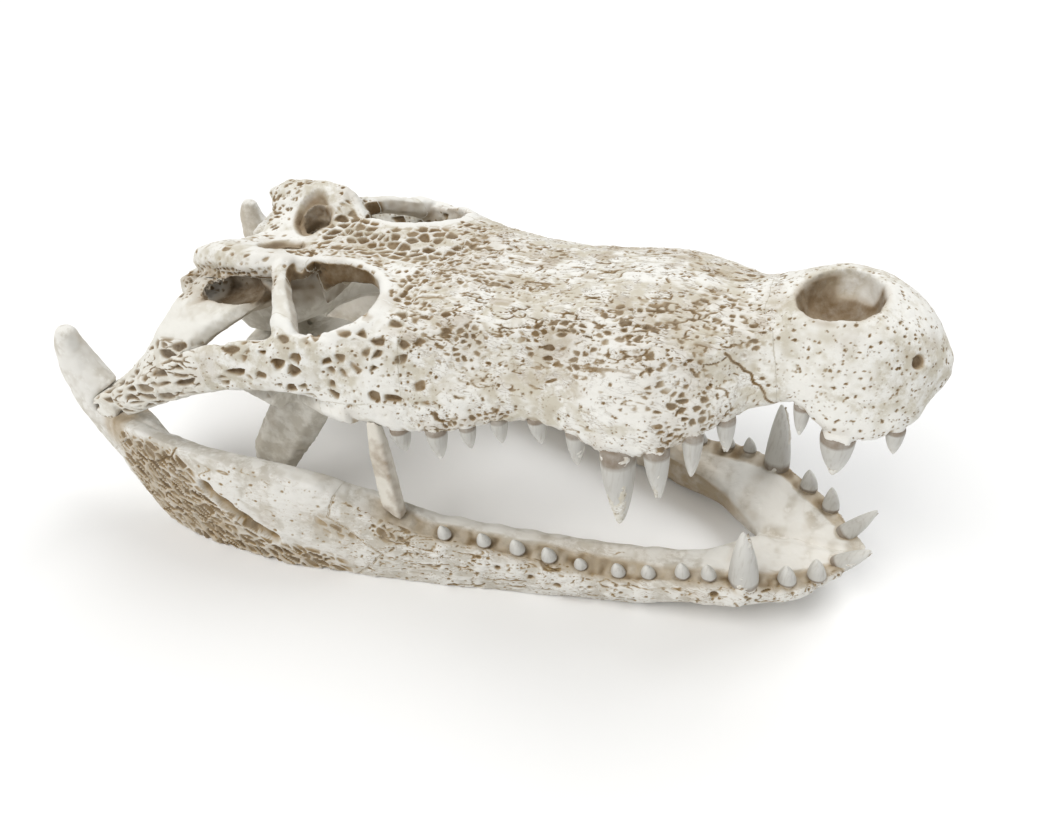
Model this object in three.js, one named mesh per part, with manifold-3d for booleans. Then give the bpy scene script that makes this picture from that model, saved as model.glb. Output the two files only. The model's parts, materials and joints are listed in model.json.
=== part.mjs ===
// Skull of a grown crocodile with its lower jaw, held open on two short props.
// Millimetres, +X toward the snout, +Y toward the animal's left, +Z up.
import * as THREE from 'three';
import { mergeVertices } from 'three/addons/utils/BufferGeometryUtils.js';
import Module from 'manifold-3d';

const wasm = await Module();
wasm.setup();

// ---- driving dimensions ----
// The skull has a frame of its own, with its origin at the jaw joint; the lower jaw stands on the floor.
const gape = THREE.MathUtils.degToRad(10.4); // the skull is tipped up this much over the lower jaw
const jointHeight = 100.5;                   // skull origin, above the floor
const seam = 0.3;                            // gap between neighbouring bones
const reach = 400;                           // longer than anything that a cut has to pass through
const crumb = 5;                             // cubic millimetres: what is smaller is dust of the cuts

// The skull's outline at stations along its length, measured forward from the jaw joint.
const snoutBack = 157;
const snoutTip = 565;
const halfWidth = smooth([
  [150, 105], [200, 104], [242, 98], [276, 91], [300, 84], [330, 78], [350, 78], [388, 84],
  [402, 83], [425, 73], [445, 59], [462, 44], [474, 40], [488, 42], [506, 46], [524, 45],
  [540, 38], [552, 29], [560, 19], [565, 6],
]);
const toothLine = smooth([
  [150, 14], [178, 8], [206, -4], [222, -16], [263, -20], [294, -17], [312, -13], [345, -15],
  [365, -23], [388, -31], [405, -27], [425, -19], [452, -11], [468, -6], [480, -3], [494, -16],
  [512, -26], [535, -22], [552, -14], [565, -3],
]);
const midline = smooth([
  [150, 70], [190, 65], [228, 60], [270, 58], [340, 54], [400, 56], [432, 49], [456, 46],
  [478, 50], [500, 52], [524, 51], [540, 44], [552, 33], [560, 20], [565, 9],
]);
const shoulderAcross = smooth([
  [150, 40], [180, 33], [208, 38], [240, 48], [290, 47], [340, 45], [400, 50], [430, 46], [460, 32],
  [478, 30], [500, 34], [524, 33], [540, 27], [552, 20], [565, 4],
]);
const shoulderHeight = smooth([
  [150, 72], [180, 70], [208, 67], [232, 62], [266, 58], [300, 53], [340, 50], [385, 46], [403, 45],
  [425, 42], [450, 38], [464, 40], [482, 48], [500, 51], [520, 49], [540, 38], [552, 27], [565, 8],
]);
const cheekHeight = smooth([
  [150, 48], [185, 54], [212, 53], [240, 45], [270, 36], [300, 31], [340, 28], [385, 24], [405, 22],
  [430, 21], [462, 20], [500, 28], [524, 26], [545, 14], [565, 4],
]);
const cheekInset = smooth([
  [150, 10], [190, 13], [240, 12], [300, 16], [400, 12], [440, 10], [480, 3], [565, 1],
]);

// Skull table: a shallow trough with a raised crest on each side, the left one the higher.
const tableBack = 70;
const tableFront = 160;
const tableMiddle = smooth([[70, 76], [88, 75], [105, 72], [125, 69], [145, 69], [160, 70]]);
const crestAcross = 45;
const crestRise = { left: 26, right: 15 };
const upperHole = { along: 128, across: 20, long: 13, wide: 11, deep: 17 };

// Openings in the skull roof and palate, as half lengths.
const orbit = { along: 187, across: 62, long: 41, wide: 31 };
const palateHole = { along: 202, across: 42, long: 44, wide: 27 };
const naris = { along: 502, aside: -6, long: 25, wide: 28, deep: 27, top: 49 };

// Where the bones of the skull are parted.
const parting = {
  cheek: 62,      // from the middle: frontal from jugal
  palate: 250,    // along: maxilla from frontal, palatines and jugal
  premaxilla: 462,
  gum: 6,         // height: jugal over maxilla
  nasal: 14,      // half width of the nasals
  roof: 63,       // height: skull table over braincase
  tableEdge: 59,  // from the middle: skull table from postorbital bar and quadrate
  brain: 44,      // from the middle: braincase from quadrate
  strut: 184,     // along: pterygoid from maxilla
  cheekBack: 112, // along: jugal from quadrate
};

// Lower jaw, at stations along the floor.
const jawTip = 547;
const jawBack = 10;
const jawOuter = smooth([
  [0, 130], [25, 139], [73, 145], [133, 145], [186, 136], [239, 123], [311, 104], [353, 95],
  [390, 88], [425, 81], [455, 76], [476, 70], [492, 62], [508, 52], [524, 39], [537, 25], [547, 6],
]);
const jawInner = smooth([
  [0, 104], [25, 113], [73, 121], [133, 121], [186, 111], [225, 96], [260, 83], [320, 68],
  [395, 49], [420, 40], [436, 34], [455, 18], [463, 8], [468, seam / 2], [547, seam / 2],
]);
const jawTop = smooth([
  [0, 80], [16, 90], [90, 93], [141, 92], [186, 88], [207, 80], [232, 60], [274, 47], [300, 44],
  [342, 38], [370, 34], [395, 34], [415, 38], [436, 44], [460, 48], [482, 47], [505, 43],
  [524, 42], [537, 43], [547, 42],
]);
const jawShelf = smooth([
  [0, 80], [141, 90], [207, 78], [245, 50], [320, 41], [400, 38], [467, 34], [547, 40],
]);
const jawBottom = smooth([
  [0, 52], [14, 27], [28, 11], [50, 2], [70, 0], [400, 0], [430, 4], [455, 8], [476, 11], [500, 15],
  [518, 21], [533, 29], [547, 38],
]);
const jawKeelInset = smooth([
  [0, 3], [133, 2], [300, 3], [353, 7], [400, 13], [450, 19], [480, 23], [500, 21], [520, 16], [547, 3],
]);
const condyle = { along: 2, height: -9, radius: 11, inner: 99, outer: 127 };

// Teeth: place along the jaw, length and width.
const upperTeeth = [
  [538, 17, 10], [508, 28, 21], [487, 21, 10], [446, 24, 11], [429, 31, 13], [409, 36, 15],
  [385, 55, 23], [357, 25, 13], [331, 19, 11], [306, 18, 11], [285, 17, 11], [264, 23, 15],
  [239, 18, 13], [207, 9, 9],
];
const lowerTeeth = [
  [272, 8, 9], [299, 8, 9], [322, 9, 10], [344, 9, 10], [366, 6, 8], [392, 8, 9], [412, 8, 9],
  [434, 10, 9], [451, 10, 9], [473, 50, 18], [500, 14, 11], [518, 16, 11],
];
const firstLowerTooth = { along: 532, across: 15, height: 40, length: 29, width: 12, lean: 0.7 };

// Display props: squared bars that taper to the top and stand between the tooth rows.
const prop = { top: [221, 97, 132], waist: [226, 101, 107], foot: [238, 109, 46], wide: 12, deep: 15 };

// ---- shaping functions ----

// A smooth function through the given [place, value] pairs, level beyond its ends.
function smooth(pairs) {
  const slope = pairs.map((_, i) => {
    const before = pairs[Math.max(i - 1, 0)];
    const after = pairs[Math.min(i + 1, pairs.length - 1)];
    return (after[1] - before[1]) / (after[0] - before[0]);
  });
  return (place) => {
    const p = THREE.MathUtils.clamp(place, pairs[0][0], pairs.at(-1)[0]);
    let i = 0;
    while (i < pairs.length - 2 && p > pairs[i + 1][0]) i += 1;
    const span = pairs[i + 1][0] - pairs[i][0];
    const t = (p - pairs[i][0]) / span;
    const rise = t * t * (3 - 2 * t);
    const lean = slope[i] * t * (1 - t) ** 2 - slope[i + 1] * t * t * (1 - t);
    return THREE.MathUtils.lerp(pairs[i][1], pairs[i + 1][1], rise) + lean * span;
  };
}

// A closed solid from any three.js geometry, with its faces turned outward.
function solidOf(geometry) {
  const bare = geometry.clone();
  bare.deleteAttribute('normal');
  bare.deleteAttribute('uv');
  const merged = mergeVertices(bare, 1e-3);
  const spots = merged.attributes.position.array;
  const corners = new Uint32Array(merged.index.array);
  const at = (i) => new THREE.Vector3().fromArray(spots, 3 * corners[i]);
  let volume = 0;
  for (let i = 0; i < corners.length; i += 3) {
    volume += at(i).dot(at(i + 1).cross(at(i + 2)));
  }
  if (volume < 0) {
    for (let i = 0; i < corners.length; i += 3) {
      [corners[i], corners[i + 1]] = [corners[i + 1], corners[i]];
    }
  }
  return new wasm.Manifold(new wasm.Mesh({
    numProp: 3,
    vertProperties: new Float32Array(spots),
    triVerts: corners,
  }));
}

// The faces of a solid as a three.js geometry.
function geometryOf(solid) {
  const { vertProperties, triVerts } = solid.getMesh();
  const geometry = new THREE.BufferGeometry();
  geometry.setAttribute('position', new THREE.BufferAttribute(new Float32Array(vertProperties), 3));
  geometry.setIndex(new THREE.BufferAttribute(new Uint32Array(triVerts), 1));
  return geometry;
}

const join = (solids) => solids.reduce((whole, next) => whole.add(next));
const cut = (solid, tools) => tools.reduce((rest, tool) => rest.subtract(tool), solid);
const moved = (solid, matrix) => solidOf(geometryOf(solid).applyMatrix4(matrix));
const largest = (solid) => solid.decompose().sort((a, b) => b.volume() - a.volume())[0];
const onBothSides = (make) => [1, -1].flatMap((side) => make(side));

// A capped tube whose ring points come from shape(t, turn), both running from 0 to 1.
function loft(sides, rings, shape) {
  const geometry = new THREE.CylinderGeometry(1, 1, 1, sides, rings - 1);
  const spots = geometry.attributes.position;
  for (let i = 0; i < spots.count; i += 1) {
    const t = 0.5 - spots.getY(i);
    const point = new THREE.Vector3();
    if (Math.hypot(spots.getX(i), spots.getZ(i)) > 0.5) {
      const angle = Math.atan2(spots.getX(i), spots.getZ(i)) / (2 * Math.PI);
      point.copy(shape(t, (Math.round(angle * sides) / sides + 1) % 1));
    } else {
      for (let k = 0; k < sides; k += 1) point.add(shape(t, k / sides));
      point.divideScalar(sides);
    }
    spots.setXYZ(i, point.x, point.y, point.z);
  }
  return solidOf(geometry);
}

// A rounded bar through stations [x, y, z, breadth, depth]; depth is measured toward `top`.
function bar(stations, { sides = 8, rings = 7, top = [0, 0, 1], square = 0.75 } = {}) {
  const path = new THREE.CatmullRomCurve3(stations.map((s) => new THREE.Vector3(...s.slice(0, 3))));
  const sizeAt = [3, 4].map((part) => smooth(stations.map((s, i) => [i, s[part]])));
  return loft(sides, rings, (t, turn) => {
    const across = path.getTangent(t).cross(new THREE.Vector3(...top)).normalize();
    const upward = across.clone().cross(path.getTangent(t)).normalize();
    const angle = 2 * Math.PI * turn;
    const swell = (v) => Math.sign(v) * Math.abs(v) ** square;
    const place = t * (stations.length - 1);
    return path.getPoint(t)
      .addScaledVector(across, swell(Math.cos(angle)) * sizeAt[0](place) / 2)
      .addScaledVector(upward, swell(Math.sin(angle)) * sizeAt[1](place) / 2);
  });
}

function ball([x, y, z], [long, wide, tall], sides = 8) {
  const geometry = new THREE.SphereGeometry(1, sides, Math.round(sides * 0.6));
  return solidOf(geometry.scale(long, wide, tall).translate(x, y, z));
}

function box([x0, x1], [y0, y1], [z0, z1]) {
  const geometry = new THREE.BoxGeometry(x1 - x0, y1 - y0, z1 - z0);
  return solidOf(geometry.translate((x0 + x1) / 2, (y0 + y1) / 2, (z0 + z1) / 2));
}

// A round bar across the skull, around a point of its side view.
function roll(along, height, radius, [from, to]) {
  const geometry = new THREE.CylinderGeometry(radius, radius, Math.abs(to - from), 10);
  return solidOf(geometry.translate(along, (from + to) / 2, height));
}

// An upright elliptic cutter.
function shaft(along, across, long, wide, [from, to], sides = 12) {
  const geometry = new THREE.CylinderGeometry(1, 1, to - from, sides).rotateX(Math.PI / 2);
  return solidOf(geometry.scale(long, wide, 1).translate(along, across, (from + to) / 2));
}

// An outline of Vector2 points in the first two named axes, run through a span of the third.
function prism(outline, axes, [from, to]) {
  const geometry = new THREE.ExtrudeGeometry(new THREE.Shape(outline), {
    depth: to - from,
    bevelEnabled: false,
  });
  geometry.translate(0, 0, from);
  const spots = geometry.attributes.position;
  for (let i = 0; i < spots.count; i += 1) {
    const values = [spots.getX(i), spots.getY(i), spots.getZ(i)];
    const point = Object.fromEntries(values.map((value, k) => [axes[k], value]));
    spots.setXYZ(i, point.x, point.y, point.z);
  }
  return solidOf(geometry);
}

// A wall of the seam's thickness that follows a line of [a, b] points, through a span of the third axis.
function seamAlong(line, axes, span) {
  const sides = [-seam / 2, seam / 2].map((offset) => line.map(([a, b], i) => {
    const [a0, b0] = line[Math.max(i - 1, 0)];
    const [a1, b1] = line[Math.min(i + 1, line.length - 1)];
    const length = Math.hypot(a1 - a0, b1 - b0);
    return new THREE.Vector2(a - (offset * (b1 - b0)) / length, b + (offset * (a1 - a0)) / length);
  }));
  return prism([...sides[0], ...sides[1].reverse()], axes, span);
}

// The part of an axis that lies within the seam at a place.
const slit = (place) => [place - seam / 2, place + seam / 2];

// A span on one side of the middle, as [smaller, larger].
const sideSpan = (side, from, to) => [side * from, side * to].sort((a, b) => a - b);

// A pointed tooth that grows from `root` toward `along`, a little sunk into its socket.
function tooth(root, along, length, width) {
  const sunk = 5;
  const taper = smooth([[0, 1], [0.5, 0.86], [1, 0.16]]);
  const start = root.clone().addScaledVector(along, -sunk);
  const end = root.clone().addScaledVector(along, length);
  const across = new THREE.Vector3(1, 0, 0).cross(along).normalize();
  const lengthwise = across.clone().cross(along);
  const sides = width > 11 ? 5 : 4;
  const rings = length > 20 ? 3 : 2;
  return loft(sides, rings, (t, turn) => {
    const angle = 2 * Math.PI * turn;
    return start.clone().lerp(end, t)
      .addScaledVector(across, (Math.cos(angle) * width * taper(t)) / 2)
      .addScaledVector(lengthwise, (Math.sin(angle) * width * taper(t)) / 2);
  });
}

// ---- skull ----

// One cross-section of the snout and cheeks, as a ring of [across, height] points.
function skullRing(x) {
  const wide = halfWidth(x);
  const edge = toothLine(x);
  const roof = midline(x);
  const gum = Math.min(12, wide * 0.35);
  const palateRise = 11;
  const half = [
    [0, roof],
    [shoulderAcross(x) * 0.55, (roof + shoulderHeight(x)) / 2 + 2],
    [shoulderAcross(x), shoulderHeight(x)],
    [(shoulderAcross(x) + wide - cheekInset(x)) / 2 + 2, (shoulderHeight(x) + cheekHeight(x)) / 2 + 3],
    [wide - cheekInset(x), cheekHeight(x)],
    [wide, (cheekHeight(x) + edge) / 2],
    [wide - 1, edge + 5],
    [wide - gum * 0.4, edge],
    [wide - gum, edge + 1],
    [wide - gum * 1.7, edge + 8],
    [0, edge + palateRise],
  ];
  const other = half.slice(1, -1).reverse().map(([y, z]) => [-y, z]);
  return [...half, ...other];
}

function snout() {
  const sides = skullRing(snoutTip).length;
  const crowding = 1.15; // the rings stand closer toward the tip
  return loft(sides, 17, (t, turn) => {
    const x = THREE.MathUtils.lerp(snoutTip, snoutBack, t ** crowding);
    const [y, z] = skullRing(x)[Math.round(turn * sides) % sides];
    return new THREE.Vector3(x, y, z);
  });
}

// Height of the skull table over a point of its plan.
function tableTop(x, y) {
  const rise = y > 0 ? crestRise.left : crestRise.right;
  const overLength = smooth([[70, 0.5], [86, 0.85], [112, 1], [138, 0.95], [150, 0.55], [160, 0.05]]);
  const overWidth = smooth([[0, 0], [12, 0.05], [crestAcross, 1], [54, 0.75]]);
  return tableMiddle(x) + rise * overLength(x) * overWidth(Math.abs(y));
}

function table() {
  const half = smooth([[70, 54], [90, 56], [120, 55], [145, 51], [160, 46]]);
  const top = [-1, -0.9, -0.7, -0.35, 0, 0.35, 0.7, 0.9, 1];
  const bottom = [1, 0, -1];
  const sides = top.length + bottom.length;
  const under = parting.roof - 1;
  const edgeDrop = 5;
  const plate = loft(sides, 6, (t, turn) => {
    const x = THREE.MathUtils.lerp(tableFront, tableBack, t);
    const k = Math.round(turn * sides);
    if (k < top.length) {
      const y = top[k] * half(x);
      return new THREE.Vector3(x, y, tableTop(x, y) - (Math.abs(top[k]) === 1 ? edgeDrop : 0));
    }
    return new THREE.Vector3(x, bottom[k - top.length] * half(x) * 0.93, under);
  });
  const nape = shaft(tableBack, 0, 20, 42, [0, 200]);
  return plate.subtract(nape);
}

function braincase() {
  const block = bar([
    [50, 0, 32, 46, 50], [76, 0, 30, 74, 68], [102, 0, 30, 62, 66], [130, 0, 42, 44, 44],
    [160, 0, 52, 26, 28],
  ], { rings: 6 });
  const wings = onBothSides((side) => bar([
    [78, side * 12, 56, 22, 30], [68, side * 40, 56, 18, 28], [64, side * 64, 58, 14, 22],
  ], { sides: 6, rings: 4 }));
  const neckJoint = ball([42, 0, 30], [12, 12, 11]);
  return join([block, neckJoint, ...wings]);
}

// The quadrate runs down and back to the jaw joint; `grown` thickens it all round.
function quadrate(side, grown = 0) {
  const stations = [
    [104, side * 34, 54, 60, 24], [98, side * 64, 57, 60, 18], [81, side * 91, 46, 44, 18],
    [64, side * 105, 27, 34, 20], [33, side * 112, 6, 27, 21], [6, side * 113, -7, 24, 18],
  ].map(([x, y, z, breadth, depth]) => [x, y, z, breadth + 2 * grown, depth + 2 * grown]);
  const span = sideSpan(side, condyle.inner - grown, condyle.outer + grown);
  return join([
    bar(stations, { rings: 7, top: [0.1, side * 0.55, 1] }),
    roll(condyle.along, condyle.height, condyle.radius + grown, span),
  ]);
}

// The lower temporal bar, from under the orbit back to the jaw joint.
function cheekBar(side, grown = 0) {
  const stations = [
    [234, side * 87, 25, 13, 36], [175, side * 102, 32, 15, 46], [135, side * 109, 32, 15, 38],
    [100, side * 115, 27, 15, 34], [57, side * 119, 11, 16, 27], [20, side * 121, -4, 16, 24],
  ].map(([x, y, z, breadth, depth]) => [x, y, z, breadth + 2 * grown, depth + 2 * grown]);
  return bar(stations, { rings: 7 });
}

function postorbitalBar(side) {
  return bar([
    [147, side * 42, 71, 18, 13], [150, side * 58, 70, 15, 12], [166, side * 80, 59, 14, 13],
    [174, side * 98, 48, 18, 20],
  ], { sides: 6, rings: 5, top: [1, 0, 0] });
}

function palatines() {
  const stations = [[262, 0, -3, 32, 16], [195, 0, -8, 24, 13], [150, 0, -12, 26, 12], [106, 0, -11, 40, 14]];
  return bar(stations, { rings: 5 });
}

// A plate under the braincase, a flange that hangs from it and a strut forward to the cheek.
function pterygoid(side) {
  const plate = bar([
    [84, 0, -8, 50, 18], [82, side * 34, -9, 46, 13], [102, side * 64, -6, 40, 13],
    [150, side * 80, -6, 44, 16],
  ], { rings: 5 });
  const flange = bar([
    [156, side * 75, -4, 50, 18], [136, side * 81, -34, 44, 14], [112, side * 86, -62, 40, 12],
    [98, side * 86, -84, 34, 10],
  ], { sides: 6, rings: 5, top: [0, 1, 0] });
  const strut = bar([
    [158, side * 76, -8, 26, 20], [186, side * 88, -6, 22, 18], [212, side * 96, -4, 22, 18],
  ], { rings: 3 });
  return join([plate, flange, strut]);
}

// Everything cut out of the snout and cheeks.
function frontOpenings() {
  const orbits = onBothSides((side) => shaft(
    orbit.along, side * orbit.across, orbit.long, orbit.wide, [-reach, reach], 14,
  ));
  const palate = onBothSides((side) => shaft(
    palateHole.along, side * palateHole.across, palateHole.long, palateHole.wide, [-50, 10],
  ));
  const between = bar([[197, -82, 24, 84, 62], [197, 82, 24, 84, 62]], { sides: 10, rings: 2, square: 0.6 });
  const behindOrbit = onBothSides((side) => box([150, 172], sideSpan(side, 32, 108), [-50, 120]));
  const nostril = ball([naris.along, naris.aside, naris.top], [naris.long, naris.wide, naris.deep], 10);
  return [...orbits, ...palate, ...behindOrbit, between, nostril];
}

// Everything cut out of the skull table, braincase and quadrates.
function rearOpenings() {
  const upper = onBothSides((side) => ball(
    [upperHole.along, side * upperHole.across, tableTop(upperHole.along, upperHole.across)],
    [upperHole.long, upperHole.wide, upperHole.deep],
  ));
  const ears = onBothSides((side) => ball([104, side * 60, 60], [31, 14, 7]));
  const spinalHole = ball([46, 0, 50], [14, 8, 8]);
  return [...upper, ...ears, spinalHole];
}

function upperToothSet() {
  return onBothSides((side) => upperTeeth.map(([x, length, width]) => {
    const root = new THREE.Vector3(x, side * (halfWidth(x) - 6), toothLine(x));
    return tooth(root, new THREE.Vector3(-0.07, side * 0.06, -1).normalize(), length, width);
  }));
}

function skullWhole() {
  const paired = onBothSides((side) => [quadrate(side), pterygoid(side)]);
  const bars = onBothSides((side) => [cheekBar(side), postorbitalBar(side)]);
  return join([
    cut(snout(), frontOpenings()),
    cut(join([table(), braincase(), palatines(), ...paired]), rearOpenings()),
    ...bars,
    ...upperToothSet(),
  ]);
}

// The nasals lie in a bed between the maxillae; `grown` makes the bed wider and deeper.
function nasalLens(grown) {
  const thick = 11;
  const above = 120;
  const under = [250, 300, 350, 400, 430, 462].map((x) => new THREE.Vector2(x, midline(x) - thick - grown));
  const lid = [new THREE.Vector2(parting.premaxilla, above), new THREE.Vector2(parting.palate, above)];
  return prism([...under, ...lid], 'xzy', [-parting.nasal - grown, parting.nasal + grown]);
}

// Thin walls along the sutures.
function skullSeams() {
  const all = [-reach, reach];
  const { cheek, palate, premaxilla, gum, roof, tableEdge, brain, strut, cheekBack } = parting;
  const nasalBed = nasalLens(seam);
  const beside = onBothSides((side) => [
    seamAlong([[palate, 120], [palate, gum], [150, gum]], 'xzy', sideSpan(side, cheek, 140)),
    box([216, palate + seam / 2], slit(side * cheek), all),
    box([40, tableFront], slit(side * brain), [-2, roof]),
    box(slit(strut), sideSpan(side, 68, 102), [-40, gum + 0.1]),
    box([158, 200], slit(side * 88), [38, 75]),
    box(slit(cheekBack), sideSpan(side, 96, 135), [-30, 60]),
  ]);
  return [
    nasalBed.subtract(nasalLens(0)),
    seamAlong([[488, -60], [474, -44], [462, -18], [462, 18], [474, 44], [488, 60]], 'xyz', all),
    box([palate, premaxilla], slit(0), all).subtract(nasalBed),
    box(slit(palate), [-cheek, cheek], all).subtract(nasalBed),
    ...beside,
    box([200, palate + seam / 2], [-cheek, cheek], slit(30)),
    box(slit(tableFront), [-tableEdge, tableEdge], [5, 120]),
    box(slit(cheekBack), [-tableEdge, tableEdge], [-40, -0.5]),
    seamAlong([[-tableEdge, 120], [-tableEdge, roof], [tableEdge, roof], [tableEdge, 120]], 'yzx', [40, 160]),
    box([40, tableFront], [-46, 46], slit(0)),
    box([40, cheekBack], slit(0), [-40, 0]),
  ];
}

// The bones of the skull, each with the rough middle of its box in the skull's frame and its colour.
const weathered = 0xe4dccb;
const smoothBone = 0xe9e2d2;
const shadedBone = 0xcfc4ae;
const middleBones = [
  ['premaxilla', [513, 0, 0], weathered],
  ['nasals', [356, 0, 48], weathered],
  ['frontal', [205, 0, 52], weathered],
  ['palatines', [180, 0, -5], shadedBone],
  ['skull_table', [110, 0, 82], weathered],
  ['braincase', [95, 0, 32], shadedBone],
];
const sideBones = [
  ['maxilla', [328, 54, -12], weathered],
  ['jugal', [180, 92, 35], weathered],
  ['postorbital_bar', [164, 73, 62], smoothBone],
  ['quadrate', [74, 90, 25], smoothBone],
  ['pterygoid', [122, 50, -42], shadedBone],
];

function skullBones() {
  const named = [
    ...middleBones,
    ...[['right', -1], ['left', 1]].flatMap(([label, side]) => sideBones.map(([name, [x, y, z], colour]) => (
      [`${name}_${label}`, [x, side * y, z], colour]
    ))),
  ];
  const pieces = cut(skullWhole(), skullSeams()).decompose().filter((piece) => piece.volume() > crumb);
  if (pieces.length !== named.length) {
    throw new Error(`${named.length} bones of the skull expected, ${pieces.length} found`);
  }
  const middleOf = (piece) => {
    const { min, max } = piece.boundingBox();
    return new THREE.Vector3(...min).add(new THREE.Vector3(...max)).divideScalar(2);
  };
  return named.map(([name, spot, colour]) => {
    const place = new THREE.Vector3(...spot);
    pieces.sort((a, b) => middleOf(a).distanceTo(place) - middleOf(b).distanceTo(place));
    return { name, colour, solid: pieces.shift() };
  });
}

// ---- lower jaw ----

// One cross-section of the left half, as a ring of [across, height] points.
function jawRing(x) {
  const outer = jawOuter(x);
  const inner = jawInner(x);
  const top = jawTop(x);
  const bottom = Math.max(jawBottom(x), 0);
  const keel = outer - jawKeelInset(x);
  const shelf = jawShelf(x);
  const wide = outer - inner;
  return [
    [outer, (top + bottom) / 2],
    [outer - 1, top - (top - bottom) * 0.2],
    [outer - Math.min(5, wide * 0.2), top],
    [outer - Math.min(17, wide * 0.55), (top * 2 + shelf) / 3],
    [inner + Math.min(8, wide * 0.25), shelf],
    [inner, shelf - 5],
    [inner, (shelf + bottom) / 2],
    [inner + wide * 0.1, bottom + 4],
    [Math.min(keel - 4, inner + wide * 0.5), bottom],
    [keel, bottom],
    [outer - jawKeelInset(x) * 0.45, bottom + (top - bottom) * 0.32],
  ];
}

function lowerToothSet(side) {
  const front = firstLowerTooth;
  const row = lowerTeeth.map(([x, length, width]) => {
    const root = new THREE.Vector3(x, side * (jawOuter(x) - 10), jawTop(x));
    return tooth(root, new THREE.Vector3(-0.08, side * 0.12, 1).normalize(), length, width);
  });
  const root = new THREE.Vector3(front.along, side * front.across, front.height);
  const along = new THREE.Vector3(front.lean, side * 0.2, 1).normalize();
  return [...row, tooth(root, along, front.length, front.width)];
}

function jawHalf(side) {
  const sides = jawRing(jawBack).length;
  const ramus = loft(sides, 16, (t, turn) => {
    const x = THREE.MathUtils.lerp(jawTip, jawBack, t);
    const [y, z] = jawRing(x)[Math.round(turn * sides) % sides];
    return new THREE.Vector3(x, side * y, z);
  });
  const heel = bar([
    [42, side * 125, 55, 66, 24], [10, side * 117, 66, 50, 32], [-13, side * 113, 88, 46, 30],
    [-27, side * 110, 112, 34, 24], [-31, side * 109, 131, 23, 18], [-29, side * 109, 145, 13, 13],
  ], { rings: 6, top: [0, 1, 0] });
  return join([ramus, heel, ...lowerToothSet(side)]);
}

const skullPlace = new THREE.Matrix4().makeRotationY(-gape).setPosition(0, 0, jointHeight);

// The lower jaw, cleared for the joint and parted into its bones, front to back.
function jawBones() {
  const jointGap = 0.45;
  const labels = { 1: 'left', '-1': 'right' };
  return onBothSides((side) => {
    const span = sideSpan(side, 60, 160);
    const pieces = cut(jawHalf(side), [
      moved(quadrate(side, jointGap), skullPlace),
      moved(cheekBar(side, jointGap), skullPlace),
      box([0, reach * 2], sideSpan(side, -reach, seam / 2), [-reach, reach]),
      seamAlong([[214, 130], [196, 62], [232, 30], [205, -5]], 'xzy', span),
      seamAlong([[34, 130], [26, 76], [4, 56], [-30, 40]], 'xzy', span),
    ]).decompose().filter((piece) => piece.volume() > crumb);
    const colours = { dentary: 0xdccfb6, angular: 0xded3bc, articular: 0xe6ddca };
    if (pieces.length !== Object.keys(colours).length) {
      throw new Error(`3 bones of the lower jaw expected, ${pieces.length} found`);
    }
    pieces.sort((a, b) => b.boundingBox().max[0] - a.boundingBox().max[0]);
    return Object.entries(colours).map(([name, colour], i) => (
      { name: `${name}_${labels[side]}`, colour, solid: pieces[i] }
    ));
  });
}

// ---- props ----
function propBars(maxillae, dentaries) {
  const contact = new THREE.Matrix4();
  return onBothSides((side) => {
    const station = ([x, y, z], share) => [x, side * y, z, prop.wide * share, prop.deep * share];
    const shape = bar(
      [station(prop.top, 0.6), station(prop.waist, 0.95), station(prop.foot, 1)],
      { rings: 3, top: [1, 0, 0], square: 0.3 },
    );
    const tools = [
      ...maxillae.map((solid) => moved(moved(solid, skullPlace), contact.makeTranslation(0, 0, -seam))),
      ...dentaries.map((solid) => moved(solid, contact.makeTranslation(0, 0, seam))),
    ];
    const name = side > 0 ? 'stand_prop_left' : 'stand_prop_right';
    return { name, colour: 0xc9c0ad, solid: largest(cut(shape, tools)) };
  });
}

// ---- the group ----
function meshOf({ name, colour, solid }) {
  const geometry = geometryOf(solid);
  geometry.computeVertexNormals();
  const material = new THREE.MeshStandardMaterial({ color: colour, roughness: 0.75, metalness: 0 });
  const mesh = new THREE.Mesh(geometry, material);
  mesh.name = name;
  return mesh;
}

const bones = skullBones();
const jaws = jawBones();
const solidsNamed = (list, start) => list.filter(({ name }) => name.startsWith(start)).map(({ solid }) => solid);
const props = propBars(solidsNamed(bones, 'maxilla'), solidsNamed(jaws, 'dentary'));

const skull = new THREE.Group();
skull.add(...bones.map(meshOf));
skull.applyMatrix4(skullPlace);

// The origin is the middle of the whole thing's box, on the floor.
const object = new THREE.Group();
object.add(skull, ...jaws.map(meshOf), ...props.map(meshOf));
const extent = new THREE.Box3().setFromObject(object, true);
object.position.set(-(extent.min.x + extent.max.x) / 2, -(extent.min.y + extent.max.y) / 2, -extent.min.z);
export default object;
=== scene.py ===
import itertools
import json
import math

import bpy
import numpy as np
from mathutils import Matrix, Vector

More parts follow.
